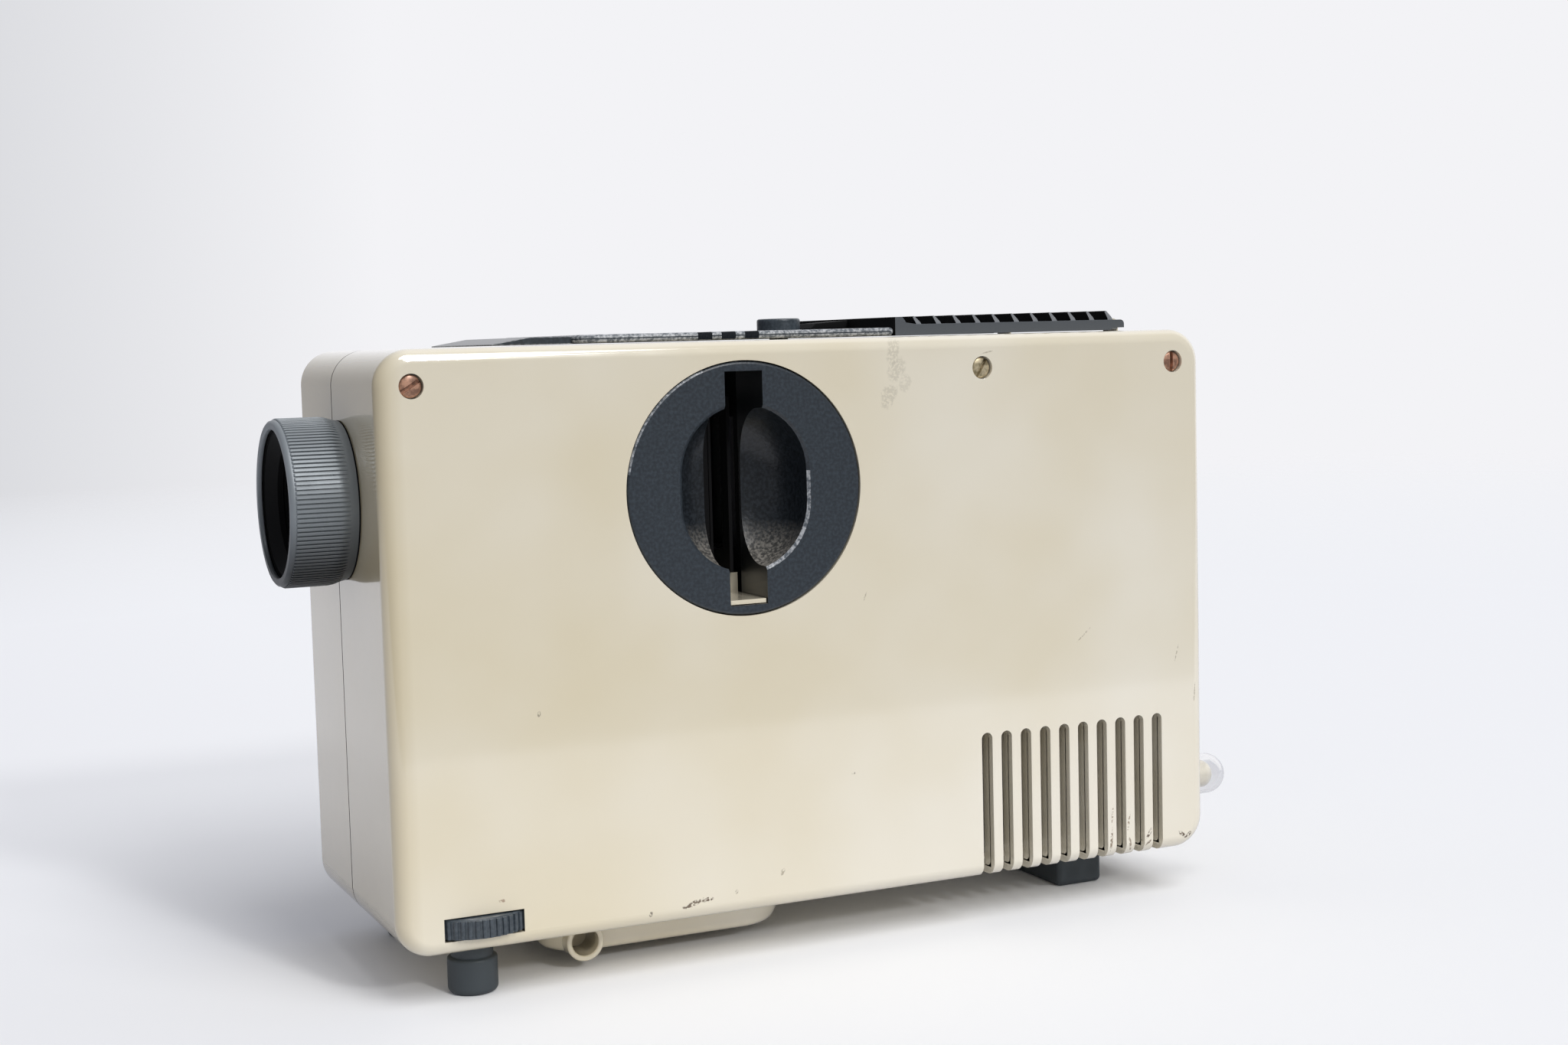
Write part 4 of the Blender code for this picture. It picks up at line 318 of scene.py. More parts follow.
def repeat(made, group, **values):
    """Run a repeat group on a drawn shape and keep its result as the mesh."""
    change = made.modifiers.new(group.name, "NODES")
    change.node_group = group
    for item in group.interface.items_tree:
        if item.in_out == "INPUT" and item.name in values:
            change[item.identifier] = values[item.name]
    return apply_modifiers(made)


print("node groups:", ROW.name, "and", RING.name)

# %% [markdown]
# ## Materials
# Each material starts from the real substance. Colours are written as they are seen, in sRGB,
# and turned into linear light by one function. Patterns sit on Object coordinates in real
# millimetres, so they stay on the piece from every side.

# %% Material helpers
def linear(hex_colour):
    channels = [int(hex_colour[i:i + 2], 16) / 255 for i in (0, 2, 4)]
    light = [c / 12.92 if c <= 0.04045 else ((c + 0.055) / 1.055) ** 2.4 for c in channels]
    return (*light, 1.0)


def new_material(name, hex_colour, roughness, **values):
    made = bpy.data.materials.new(name)
    made.use_nodes = True
    shader = made.node_tree.nodes["Principled BSDF"]
    shader.inputs["Base Color"].default_value = linear(hex_colour)
    shader.inputs["Roughness"].default_value = roughness
    for key, value in values.items():
        shader.inputs[key.replace("_", " ")].default_value = value
    return made


def feed(made, name, source):
    """Let a socket set one input of the material's shader."""
    link(made.node_tree, (source, made.node_tree.nodes["Principled BSDF"].inputs[name]))
    return made


def split_place(tree, kind="Object"):
    """X, Y and Z of the place on the piece, or of the view's direction for the world."""
    parts = add_node(tree, "ShaderNodeSeparateXYZ")
    link(tree, (add_node(tree, "ShaderNodeTexCoord").outputs[kind], parts.inputs[0]))
    return parts.outputs


def noise(tree, size_mm, detail):
    """A noise whose blotches are about size_mm across."""
    where = add_node(tree, "ShaderNodeTexCoord")
    made = add_node(tree, "ShaderNodeTexNoise", {"Scale": 1000.0 / size_mm, "Detail": detail})
    link(tree, (where.outputs["Object"], made.inputs["Vector"]))
    return made.outputs


def ramp(tree, source, low, high, low_value=0.0, high_value=1.0):
    made = add_node(tree, "ShaderNodeMapRange", {"From Min": low, "From Max": high,
                                                 "To Min": low_value, "To Max": high_value})
    link(tree, (source, made.inputs["Value"]))
    return made.outputs["Result"]


def blotches(tree, size_mm, detail, low, high, low_value=0.0, high_value=1.0):
    """A noise, spread between two values. It runs over where it lies between low and high."""
    return ramp(tree, noise(tree, size_mm, detail)[0], low, high, low_value, high_value)


def mix_colour(tree, factor, first, second):
    """Mix a colour or a colour socket with a second one."""
    made = add_node(tree, "ShaderNodeMix", data_type="RGBA")
    link(tree, (factor, made.inputs["Factor"]))
    for socket, value in ((made.inputs[6], first), (made.inputs[7], second)):
        if isinstance(value, str):
            socket.default_value = linear(value)
        else:
            link(tree, (value, socket))
    return made.outputs[2]


def grain(made, size_mm, depth_mm, strength=1.0):
    """A fine moulded or blasted grain."""
    tree = made.node_tree
    bump = add_node(tree, "ShaderNodeBump", {"Strength": strength, "Distance": depth_mm / 1000})
    link(tree, (noise(tree, size_mm, 1.0)[0], bump.inputs["Height"]))
    return feed(made, "Normal", bump.outputs[0])


def vary_roughness(made, size_mm, low, high):
    return feed(made, "Roughness",
                blotches(made.node_tree, size_mm, 3.0, 0.3, 0.7, low, high))


def blotched(made, size_mm, detail, low, high, first, second):
    """Two colours in blotches."""
    tree = made.node_tree
    mask = blotches(tree, size_mm, detail, low, high)
    return feed(made, "Base Color", mix_colour(tree, mask, first, second))


def height_shade(made, below, low_z, high_z, above):
    """Change the colour with the height on the piece, from below to above."""
    tree = made.node_tree
    height = ramp(tree, split_place(tree)["Z"], low_z, high_z)
    return feed(made, "Base Color", mix_colour(tree, height, below, above))


# %% [markdown]
# ### Beige case plastic
# The case is moulded ABS from a polished tool, so it is glossy, and it has yellowed unevenly.
# It is yellower towards the lens end and in broad patches, and paler to the rear, which is partly
# painted light for the stronger light on that end. The rounded front edge and the lens end face
# are painted browner, as painted shade where the case turns away from the window. A clear coat
# stands for the polished skin, which mirrors the table in the lower part of the side. Wear is a
# set of ragged marks at fixed places: each is a stretched, turned blot on Object coordinates,
# broken up by a fine noise.

# %% Beige ABS
def worn_mark(tree, place, length, width, angle, strength):
    """A ragged blot in the side's plane, as a mask from 0 to strength."""
    where = add_node(tree, "ShaderNodeTexCoord")
    blot = add_node(tree, "ShaderNodeMapping",
                    {"Location": place, "Rotation": (0.0, -math.radians(angle), 0.0),
                     "Scale": (length / 2, MARK_REACH, width / 2)}, vector_type="TEXTURE")
    shift = add_node(tree, "ShaderNodeVectorMath", {1: (1.2, 1.2, 1.2)},
                     operation="MULTIPLY_ADD")
    away = add_node(tree, "ShaderNodeVectorMath", {1: (0.6, 0.6, 0.6)}, operation="DISTANCE")
    link(tree, (where.outputs["Object"], blot.inputs["Vector"]),
         (noise(tree, width * 1000, 3.0)["Color"], shift.inputs[0]),
         (blot.outputs[0], shift.inputs[2]), (shift.outputs[0], away.inputs[0]))
    inside = ramp(tree, away.outputs["Value"], 0.7, 1.0, strength, 0.0)
    return combined(tree, "MULTIPLY", inside, blotches(tree, 0.7, 3.0, 0.40, 0.54))


MARK_REACH = 0.006
WEAR = (  # x and z on the near side, length, width in metres, angle, strength, colour
    (0.0228, 0.1690, 0.0080, 0.0050, 80, 0.24, "8F8875"),
    (0.0238, 0.1640, 0.0090, 0.0060, 70, 0.24, "8F8875"),
    (0.0210, 0.1565, 0.0080, 0.0050, 60, 0.24, "8F8875"),
    (0.0262, 0.1600, 0.0060, 0.0040, 70, 0.18, "948C78"),
    (-0.0436, 0.0185, 0.0070, 0.0016, 16, 1.0, "66543B"),
    (-0.0390, 0.0192, 0.0040, 0.0012, 8, 1.0, "5F4A30"),
    (-0.0560, 0.0172, 0.0018, 0.0013, 80, 0.9, "6E624F"),
    (-0.0981, 0.0268, 0.0019, 0.0011, 0, 0.9, "A2876A"),
    (-0.0303, 0.0202, 0.0016, 0.0010, 60, 0.7, "9A8D74"),
    (-0.0160, 0.0240, 0.0024, 0.0014, 60, 0.7, "9A8D74"),
    (0.0944, 0.0270, 0.0060, 0.0008, 85, 0.8, "8A7558"),
    (0.0940, 0.0195, 0.0080, 0.0010, 85, 0.9, "7A6446"),
    (0.1003, 0.0245, 0.0060, 0.0008, 80, 0.8, "8A7558"),
    (0.1008, 0.0175, 0.0050, 0.0010, 100, 0.8, "7A6446"),
    (0.1076, 0.0198, 0.0056, 0.0012, 55, 1.0, "5A442C"),
    (0.1076, 0.0172, 0.0030, 0.0008, 40, 0.9, "6B563D"),
    (0.1198, 0.0182, 0.0034, 0.0014, 140, 1.0, "5E4A32"),
    (0.1222, 0.0178, 0.0034, 0.0014, 40, 1.0, "5E4A32"),
    (0.1249, 0.0617, 0.0070, 0.0005, 85, 0.6, "8F8068"),
    (0.1185, 0.0750, 0.0060, 0.0005, 75, 0.5, "8F8068"),
    (0.0850, 0.0830, 0.0070, 0.0005, 40, 0.5, "8F8068"),
    (0.0120, 0.1000, 0.0030, 0.0005, 70, 0.5, "8F8068"),
    (-0.0860, 0.0757, 0.0018, 0.0010, 80, 0.8, "8B8371"),
    (0.0070, 0.0496, 0.0014, 0.0010, 10, 0.8, "8B8371"),
    (0.0536, 0.1681, 0.0040, 0.0005, 10, 0.5, "8F8068"),
)


def beige_plastic():
    made = new_material("glossy_beige_abs", "E4DDC9", 0.14, IOR=1.55, Coat_Weight=1.0,
                        Coat_Roughness=0.06, Coat_IOR=1.8)
    tree = made.node_tree
    along = split_place(tree)["X"]
    # Paler towards the rear: less yellowed there, and partly painted light for the stronger light
    # on that end. Broad patches of yellowing break it up.
    less_yellow_and_lit = combined(tree, "ADD", ramp(tree, along, -0.11, 0.04, 0.0, 0.45),
                     blotches(tree, 60.0, 2.0, 0.35, 0.65, 0.0, 0.55))
    colour = mix_colour(tree, less_yellow_and_lit, "E2D6B7", "EFE8D6")
    # Painted shade: the rounded front edge and the lens end face turn browner, where the case
    # turns away from the window.
    shaded_front_edge = ramp(tree, along, -0.1262, -0.1195, 0.7, 0.0)
    colour = mix_colour(tree, shaded_front_edge, colour, "C4B48E")
    for x, z, length, width, angle, strength, mark in WEAR:
        mask = worn_mark(tree, (x, NEAR_Y, z), length, width, angle, strength)
        colour = mix_colour(tree, mask, colour, mark)
    return vary_roughness(feed(made, "Base Color", colour), 9.0, 0.12, 0.2)


BEIGE = beige_plastic()
# Near black on the seam's walls: painted shade in the narrow gap, with dust in it as well.
SEAM_SHADE_AND_DUST = new_material("painted_shade_and_dust_in_the_seam", "16130F", 0.9)
print("material:", BEIGE.name, "with", len(WEAR), "marks")

# %% [markdown]
# ### Dark plastics and rubber
# The port, the deck, the lid and the button are dark blue-grey ABS from a spark-eroded tool,
# which leaves a fine grain that breaks up the light. The rounded faces get a paler, glinting
# material as a painted highlight, and the floor of each bowl is painted paler as painted light.
# The lid's slats get a paler grey as painted light. Pieces inside are plain black, and the same
# black is painted shade on the lid's lip and front faces. The feet are rubber.

# %% Dark materials
def grained_dark(name, dark, light, roughness):
    """Spark-eroded ABS. Its grain is drawn 0.9 mm across, coarser than real, so it shows."""
    made = grain(new_material(name, dark, roughness, IOR=1.53), 0.9, 0.06)
    return blotched(made, 0.9, 2.0, 0.4, 0.65, dark, light)


def bowl_with_painted_light():
    """The same plastic, painted paler and speckled low down: painted light for the bowl's lit
    floor and its highlight.
    """
    made = grained_dark("satin_bowl_abs", "191D21", "2B3035", 0.3)
    tree = made.node_tree
    speckled = tree.nodes["Principled BSDF"].inputs["Base Color"].links[0].from_socket
    # Painted light: paler towards the bottom of the bowl, where the window lights its floor.
    bowl_floor_light = mix_colour(tree, blotches(tree, 0.8, 2.0, 0.42, 0.62), "504E4A", "98938A")
    return height_shade(made, bowl_floor_light, AXIS_Z - 0.022, AXIS_Z - 0.010, speckled)


DARK = grained_dark("grained_dark_abs", "2A3036", "363E45", 0.36)
BUTTON = grained_dark("grained_button_abs", "3A4248", "495158", 0.36)
# Paler and glinting: a painted highlight for rounded edges that catch the light.
EDGE_HIGHLIGHT = grained_dark("dark_abs_painted_highlight", "5C6268", "B8BABC", 0.3)
BOWL = bowl_with_painted_light()
# Paler than the lid: painted light for the slats' lit ends.
SLAT = new_material("slat_abs_painted_light", "85888C", 0.4, IOR=1.53)
LID = grain(new_material("rubbed_lid_abs", "575B5F", 0.3, IOR=1.53), 0.8, 0.02, 0.4)
BLACK = new_material("satin_black_abs", "17191A", 0.35, IOR=1.53)
# Matt black paint on pieces inside; on the lid's lip and front faces the same black is painted
# shade.
MATT_BLACK = new_material("matt_black_paint_and_painted_shade", "0B0B0C", 0.8, Specular_IOR_Level=0.2)
RUBBER = grain(new_material("grey_rubber", "3C4347", 0.5, IOR=1.52), 1.2, 0.02, 0.3)
print("dark materials:", DARK.name, LID.name, BLACK.name, MATT_BLACK.name, RUBBER.name)

# %% [markdown]
# ### Metals
# The focusing ring is turned aluminium under a thick, dull anodised skin, which shows little of
# the metal. Its colour is painted lighter towards the top and darker underneath: painted light
# and shade from the window above.
# Inside, sheet steel is zinc plated, the core is varnished iron, and the mirror is polished.
# The case screws have tarnished to copper and brass tones. Metals keep the default index of
# refraction.

# %% Metals
def tarnished(name, bright, dull):
    made = new_material(name, bright, 0.3, Metallic=0.4)
    return blotched(made, 1.5, 4.0, 0.4, 0.6, bright, dull)


ANODISED = vary_roughness(new_material("dark_anodised_aluminium", "565B5F", 0.4, Metallic=0.2),
                          6.0, 0.36, 0.44)
# Painted light and shade: the ring is painted lighter towards the top and darker underneath.
height_shade(ANODISED, "34383B", AXIS_Z - 0.018, AXIS_Z - 0.002, "868C90")
ZINC = vary_roughness(new_material("zinc_plated_steel", "A9ABAA", 0.4, Metallic=1.0),
                      5.0, 0.3, 0.5)
SPRING = new_material("blackened_spring_steel", "26282A", 0.35, Metallic=0.8)
MIRROR = new_material("polished_reflector", "E6E7E8", 0.05, Metallic=1.0)
IRON = new_material("varnished_laminations", "4A4540", 0.4, Metallic=0.6)
COPPERY = tarnished("tarnished_copper_screw", "D0A186", "93705E")
BRASSY = tarnished("tarnished_brass_screw", "D2C3A2", "94886A")
print("metals:", ANODISED.name, ZINC.name, COPPERY.name, BRASSY.name)

# %% [markdown]
# ### Glass and clear plastic
# The lenses are optical glass, and the heat filter has a faint green cast. The rear bumpers
# are clear acrylic, scuffed by use. Ceramic and winding tape are the last two.

# %% Clear and ceramic materials
GLASS = new_material("coated_optical_glass", "FFFFFF", 0.0, IOR=1.6, Transmission_Weight=1.0)
# The condenser glass is darkened and dulled: painted shade, so the lamp house behind the slot
# stays dark.
DEEP_GLASS = new_material("condenser_glass_darkened_as_shade", "202224", 0.6, IOR=1.5,
                          Transmission_Weight=1.0)
HEAT_GLASS = new_material("heat_absorbing_glass", "D9EFE6", 0.02, IOR=1.5,
                          Transmission_Weight=1.0)
ACRYLIC = grain(new_material("scuffed_clear_acrylic", "FFFFFF", 0.02, IOR=1.49,
                             Transmission_Weight=1.0), 4.0, 0.05, 0.2)
CERAMIC = new_material("steatite_ceramic", "DAD4C6", 0.55)
TAPE = new_material("yellow_winding_tape", "B98D33", 0.45)
print("clear materials:", GLASS.name, HEAT_GLASS.name, ACRYLIC.name)


# %% [markdown]
# ### A finish for every CAD node
# Pieces whose CAD shape is right stay as they are and only get their material.

# %% Paint the CAD nodes
def paint(surface, *names):
    for name in names:
        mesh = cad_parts[name].data
        mesh.materials.clear()
        mesh.materials.append(surface)


paint(BEIGE, "near_shell", "far_shell", "belly_pan", "guide_rail", "near_bumper_core",
      "far_bumper_core")
paint(DARK, "near_port", "far_port", "top_deck", "near_thumbwheel",
      "far_thumbwheel", "fan_impeller")
paint(BUTTON, "power_button")
paint(LID, "lamp_lid")
paint(BLACK, "lens_mount", "foot_bridge", "power_switch",
      "fan_shroud", "mains_inlet", "thermal_cutout")
paint(MATT_BLACK, "lens_barrel", "lens_cone_ring", "aperture_plate", "gate_block",
      "pressure_plate", "condenser_housing")
paint(ANODISED, "focus_ring")
paint(RUBBER, "near_foot", "far_foot", "rear_foot")
paint(GLASS, "front_lens", "middle_lens", "rear_lens", "lamp")
paint(DEEP_GLASS, "front_condenser", "rear_condenser")
paint(HEAT_GLASS, "heat_filter")
paint(ACRYLIC, "near_bumper_dome", "far_bumper_dome")
paint(ZINC, "lamp_bracket", "lamp_house", "fan_motor",
      "chassis_plate", "transformer_clamp", "near_inlet_pin", "far_inlet_pin")
paint(COPPERY, "front_case_screw", "middle_case_screw", "rear_case_screw", "near_hinge_pin",
      "far_hinge_pin")
paint(MIRROR, "reflector")
paint(CERAMIC, "lamp_socket", "terminal_block")
paint(IRON, "transformer_core")
paint(TAPE, "transformer_coil")
paint(SPRING, "upper_gate_spring", "lower_gate_spring")
print("painted", len(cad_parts), "nodes")


# %% Hand a finished piece to its body
def finished(made, surface, body, slot, *nodes):
    """Give the piece its material and body, and hide the CAD nodes it stands for. The slot is not
    used.
    """
    surfaces = surface if isinstance(surface, tuple) else (surface,)
    wanted = [face.material_index for face in made.data.polygons]
    made.data.materials.clear()
    for one in surfaces:
        made.data.materials.append(one)
    for face, index in zip(made.data.polygons, wanted):
        face.material_index = min(index, len(surfaces) - 1)
    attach(made, body)
    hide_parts(*nodes)
    print(made.name, "has", len(made.data.polygons), "faces")
    return made


def mark_faces(made, index, wanted):
    """Faces that pass the test take the piece's surface of that index."""
    for face in made.data.polygons:
        if wanted(face.center, face.normal):
            face.material_index = index
    return made


# %% [markdown]
# ## The half shells
# Each half is an injection-moulded tray. Its side is flat and the edge runs round it in a
# 4 mm fillet, while the corners seen from the side have a 10 mm radius. The tray is drawn as
# a rounded box, grown inwards to a 2.5 mm wall, and then cut by tools for the port, the
# vents, the thumbwheel window, the lens and the lamp house.

# %% Draw the trays
CORNER_RADIUS, EDGE_FILLET = 0.0098, 0.0040


def span(outer_y, inward, first, last):
    """Two depths behind an outer face as their Y places, the lower one first."""
    return sorted((outer_y + inward * first, outer_y + inward * last))


def tray(name, outer_y, rim_y):
    near, far = sorted((outer_y, rim_y))
    work = cube((FRONT_X, near, BASE_Z), (REAR_X, far, TOP_Z))
    across = [e for e in work.edges if abs(e.verts[0].co.y - e.verts[1].co.y) > 0.001]
    round_edges(work, across, CORNER_RADIUS, 14)
    rim = [e for e in work.edges if all(abs(v.co.y - outer_y) < TOUCH for v in e.verts)]
    round_edges(work, rim, EDGE_FILLET, 8)
    seam = max(work.faces, key=lambda f: f.calc_area() * (
        abs(f.calc_center_median().y - rim_y) < TOUCH))
    bmesh.ops.delete(work, geom=[seam], context="FACES_ONLY")
    shell = from_bmesh(name, work)
    thicken = shell.modifiers.new("wall", "SOLIDIFY")
    thicken.thickness = WALL
    thicken.offset = -1
    thicken.use_even_offset = True
    return apply_modifiers(shell)


SEAM_HALF = 0.0003  # half of the seam's width, as it shows
near_shell = tray("near_half_shell", NEAR_Y, SEAM_Y - SEAM_HALF)
far_shell = tray("far_half_shell", FAR_Y, SEAM_Y + SEAM_HALF)
print("trays have", len(near_shell.data.polygons), "faces each")

# %% Tools that cut the shells
VENT_X, VENT_WIDTH, VENT_TOP, VENT_UNDER = 0.04930, 0.0036, 0.0568, 0.018
VENT_STEP = 0.00664
SCREW_PLACES = ((-0.11705, 32.0), (0.05175, 58.0), (0.11815, 88.0))
SCREW_Z = TOP_Z - 0.0096


def vent_tools(outer_y, inward):
    """One drawn slot with a round top, copied in a row of ten."""
    radius = VENT_WIDTH / 2
    points = arc(radius, 0, 180, 13, (VENT_X + radius, VENT_TOP - radius))
    points += [(VENT_X, BASE_Z - OVERRUN), (VENT_X + VENT_WIDTH, BASE_Z - OVERRUN)]
    low, high = span(outer_y, inward, -OVERRUN, VENT_UNDER)
    slot = prism("vent_tools", points, low, high, side_view)
    return repeat(slot, ROW, Count=10, Step=(VENT_STEP, 0.0, 0.0))


def round_tool(name, radius, at, axis, length, steps=96):
    return turned(name, [(0, length), (radius, length), (radius, 0), (0, 0)], at, axis, steps)


def shell_tools(outer_y, inward):
    start_y = outer_y - inward * OVERRUN
    axis = "Y" if inward > 0 else "-Y"
    wheel_y = -WHEEL_Y if inward > 0 else WHEEL_Y
    return [
        round_tool("port_hole", 0.0353, (PORT_X, start_y, AXIS_Z), axis, 0.0085, 160),
        round_tool("wheel_window", 0.0171, (WHEEL_X, wheel_y, 0.0177), "Z", 0.0062),
        round_tool("foot_hole", 0.0063, (WHEEL_X, wheel_y, BASE_Z - OVERRUN), "Z", 0.0085, 48),
        round_tool("lens_hole", 0.02185, (FRONT_X - OVERRUN, AXIS_Y, AXIS_Z), "X", 0.0085),
        round_tool("button_hole", 0.0034, (BUTTON_X, 0, TOP_Z - 0.0055), "Z", 0.0085, 48),
        block("lamp_opening", (0.03165, -0.0285, 0.1678), (0.09795, 0.0285, 0.1763)),
        block("belly_way", (-0.07375, -0.018, 0.0108), (-0.01375, 0.018, 0.0193)),
        vent_tools(outer_y, inward)]


# %% Cut the shells
def shell_lugs(outer_y, inward):
    """Screw posts and the ears that hold the lid's hinge pins."""
    posts = [turned("post", [(0.0018, 0.0), (0.0018, 0.0405), (0.0042, 0.0405), (0.0042, 0.0)],
                    (x, outer_y + inward * 0.0028, SCREW_Z), "Y" if inward > 0 else "-Y", 32,
                    True) for x, _ in SCREW_PLACES]
    inner = outer_y + inward * 0.0123
    low, high = sorted((inner, inner + inward * 0.0027))
    ear = arc(0.0018, 0, 180, 15, (PIN_X, PIN_Z))
    ear += [(PIN_X - 0.0018, TOP_Z - 0.001), (PIN_X + 0.0018, TOP_Z - 0.001)]
    return posts + [prism("ear", ear, low, high, side_view)]


def vent_pad(outer_y, inward):
    """Thicker plastic behind the vents, so that each slot has deep walls."""
    low, high = span(outer_y, inward, WALL - 0.0004, 0.0057)
    last = VENT_X + 9 * VENT_STEP + VENT_WIDTH
    pad = block("vent_pad", (VENT_X - 0.003, low, BASE_Z + WALL - 0.0004),
                (last + 0.003, high, VENT_TOP + 0.003))
    return cut(pad, [vent_tools(outer_y, inward)])


near_tools = shell_tools(NEAR_Y, 1)
near_tools += [round_tool("screw_seat", 0.0033, (x, NEAR_Y - OVERRUN, SCREW_Z), "Y", 0.0057, 48)
               for x, _ in SCREW_PLACES]
cut(near_shell, near_tools)
far_tools = shell_tools(FAR_Y, -1)
far_tools.append(block("inlet_hole", (0.1232, 0.0067, 0.0335), (0.1317, 0.0243, 0.0461)))
cut(far_shell, far_tools)
near_shell = settle(joined("near_half_shell", [near_shell, vent_pad(NEAR_Y, 1)]
                           + shell_lugs(NEAR_Y, 1)))
far_shell = settle(joined("far_half_shell", [far_shell, vent_pad(FAR_Y, -1)]
                          + shell_lugs(FAR_Y, -1)))


def in_seam(centre, normal):
    return abs(centre.y - SEAM_Y) < 2 * SEAM_HALF and abs(normal.y) > 0.9


# The seam's walls take the near-black material: painted shade, with dust.
for shell, node in ((near_shell, "near_shell"), (far_shell, "far_shell")):
    mark_faces(shell, 1, in_seam)
    finished(shell, (BEIGE, SEAM_SHADE_AND_DUST), "case", "beige_gloss_plastic", node)

# %% [markdown]
# ## The case screws
# Three slotted cheese-head screws pull the halves together. Each head is turned, crowned a
# little and slotted, and the slots stand as the last hand left them.

# %% Screws
def case_screw(label, x, angle, surface):
    crown = [(0, 0.0002), (0.0012, 0.00017), (0.0022, 0.00005), (0.0027, -0.0001),
             (0.003, -0.0004), (0.003, -0.0016), (0.0015, -0.0016), (0.0015, -0.0842),
             (0, -0.0842)]
    at = (x, NEAR_Y + 0.0008, SCREW_Z)
    screw = turned(f"{label}_case_screw_turned", crown, at, "-Y", 48)
    slot = block("slot", (-0.004, -0.001, -0.00055), (0.004, 0.0011, 0.00055))
    slot.data.transform(Matrix.Translation(at) @ Matrix.Rotation(-math.radians(angle), 4, "Y"))
    cut(screw, [slot])
    return finished(settle(screw, 25), surface, "case", "coppery_screw", f"{label}_case_screw")


for label, place, surface in zip(("front", "middle", "rear"), SCREW_PLACES,
                                 (COPPERY, BRASSY, COPPERY)):
    case_screw(label, *place, surface)

# %% [markdown]
# ## The slide ports
# Each port is a round insert with a square-ended slot for the slide and a finger bowl across it.
# The bowl is a deep oval dish, so it is cut by a solid whose section shrinks along a quarter
# circle towards its floor. Its rim is chamfered and the port's edge is rounded, and parts of both
# that catch the light are painted pale as a painted highlight. The bowl's floor is painted paler
# as painted light.

# %% Ports
RIM, PORT_RADIUS, PORT_DEPTH = 0.0008, 0.035, 0.018
SLOT_HALF, SLOT_REACH = 0.00565, 0.03235
BOWL_WIDTH, BOWL_HEIGHT, BOWL_DEPTH, BOWL_ROUNDING = 0.0377, 0.0459, 0.0168, 0.0135


def oval(width, height, count=24):
    radius = width / 2
    straight = height / 2 - radius
    return (arc(radius, 0, 180, count, (0, straight))
            + arc(radius, 180, 360, count, (0, -straight)))


def bowl_tool(outer_y, inward):
    """Ovals from the face to the floor: a chamfered rim, an even part, a rounded end."""
    turns = [math.radians(90 * i / 16) for i in range(1, 17)]
    levels = [(-OVERRUN, -RIM), (0.0, -RIM), (RIM, 0.0)]
    levels += [(BOWL_DEPTH - BOWL_ROUNDING * (1 - math.sin(a)),
                BOWL_ROUNDING * (1 - math.cos(a))) for a in turns]
    work = bmesh.new()
    rings = [[work.verts.new((PORT_X + u, outer_y + inward * level, AXIS_Z + v))
              for u, v in oval(BOWL_WIDTH - 2 * inset, BOWL_HEIGHT - 2 * inset)]
             for level, inset in levels]
    for a, b in zip(rings, rings[1:]):
        bridge(work, a, b)
    work.faces.new(rings[0])
    work.faces.new(rings[-1])
    return from_bmesh("bowl", work)


def port(label, outer_y, inward):
    profile = [(0, 0), (PORT_RADIUS - RIM, 0)] + arc(RIM, 90, 0, 6, (PORT_RADIUS - RIM, -RIM))
    profile += [(PORT_RADIUS, -PORT_DEPTH), (0, -PORT_DEPTH)]
    insert = turned(f"{label}_port_insert", profile, (PORT_X, outer_y, AXIS_Z),
                    "-Y" if inward > 0 else "Y", 160)
    low, high = span(outer_y, inward, -OVERRUN, PORT_DEPTH + OVERRUN)
    slot = block("slot", (PORT_X - SLOT_HALF, low, AXIS_Z - SLOT_REACH),
                 (PORT_X + SLOT_HALF, high, AXIS_Z + SLOT_REACH))
    cut(insert, [bowl_tool(outer_y, inward), slot])

    def depth_of(centre):
        return (centre.y - outer_y) * inward

    def in_edge(centre):
        """Whether a place belongs to the port's outer edge."""
        return math.hypot(centre.x - PORT_X, centre.z - AXIS_Z) >= PORT_RADIUS - 0.001

    def catches_light(centre):
        """The painted highlight goes on the port's edge high towards the lens and on the bowl's
        rim low behind.
        """
        turn = math.degrees(math.atan2(centre.z - AXIS_Z, centre.x - PORT_X))
        return 110 < turn < 170 if in_edge(centre) else -85 < turn < 5

    settle(insert, 40)
    # The bowl's faces take the bowl material, which is painted paler low down as painted light.
    mark_faces(insert, 2, lambda centre, normal: depth_of(centre) > RIM and not in_edge(centre))
    mark_faces(insert, 3, lambda centre, normal: depth_of(centre) > RIM
               and abs(abs(centre.x - PORT_X) - SLOT_HALF) < 2 * TOUCH)
    # Faces on the edge and the rim that catch the light take the paler material: painted
    # highlight.
    mark_faces(insert, 1, lambda centre, normal: depth_of(centre) < RIM
               and 0.2 < abs(normal.y) < 0.97 and catches_light(centre))
    return finished(insert, (DARK, EDGE_HIGHLIGHT, BOWL, BLACK), "case", "dark_grained_plastic",
                    f"{label}_port")


port("near", NEAR_Y, 1)
port("far", FAR_Y, -1)

# %% [markdown]
# ## The focusing ring and the lens
# The ring is turned aluminium. Its front lip is bevelled and its grip is milled with fine
# straight ribs that run out on a smooth shoulder at the rear. One flat-topped rib is drawn
# from the side and copied 117 times round the optical axis.

# %% Focusing ring
RING_FRONT, RING_LENGTH, RING_RADIUS = -0.14485, 0.0181, 0.023


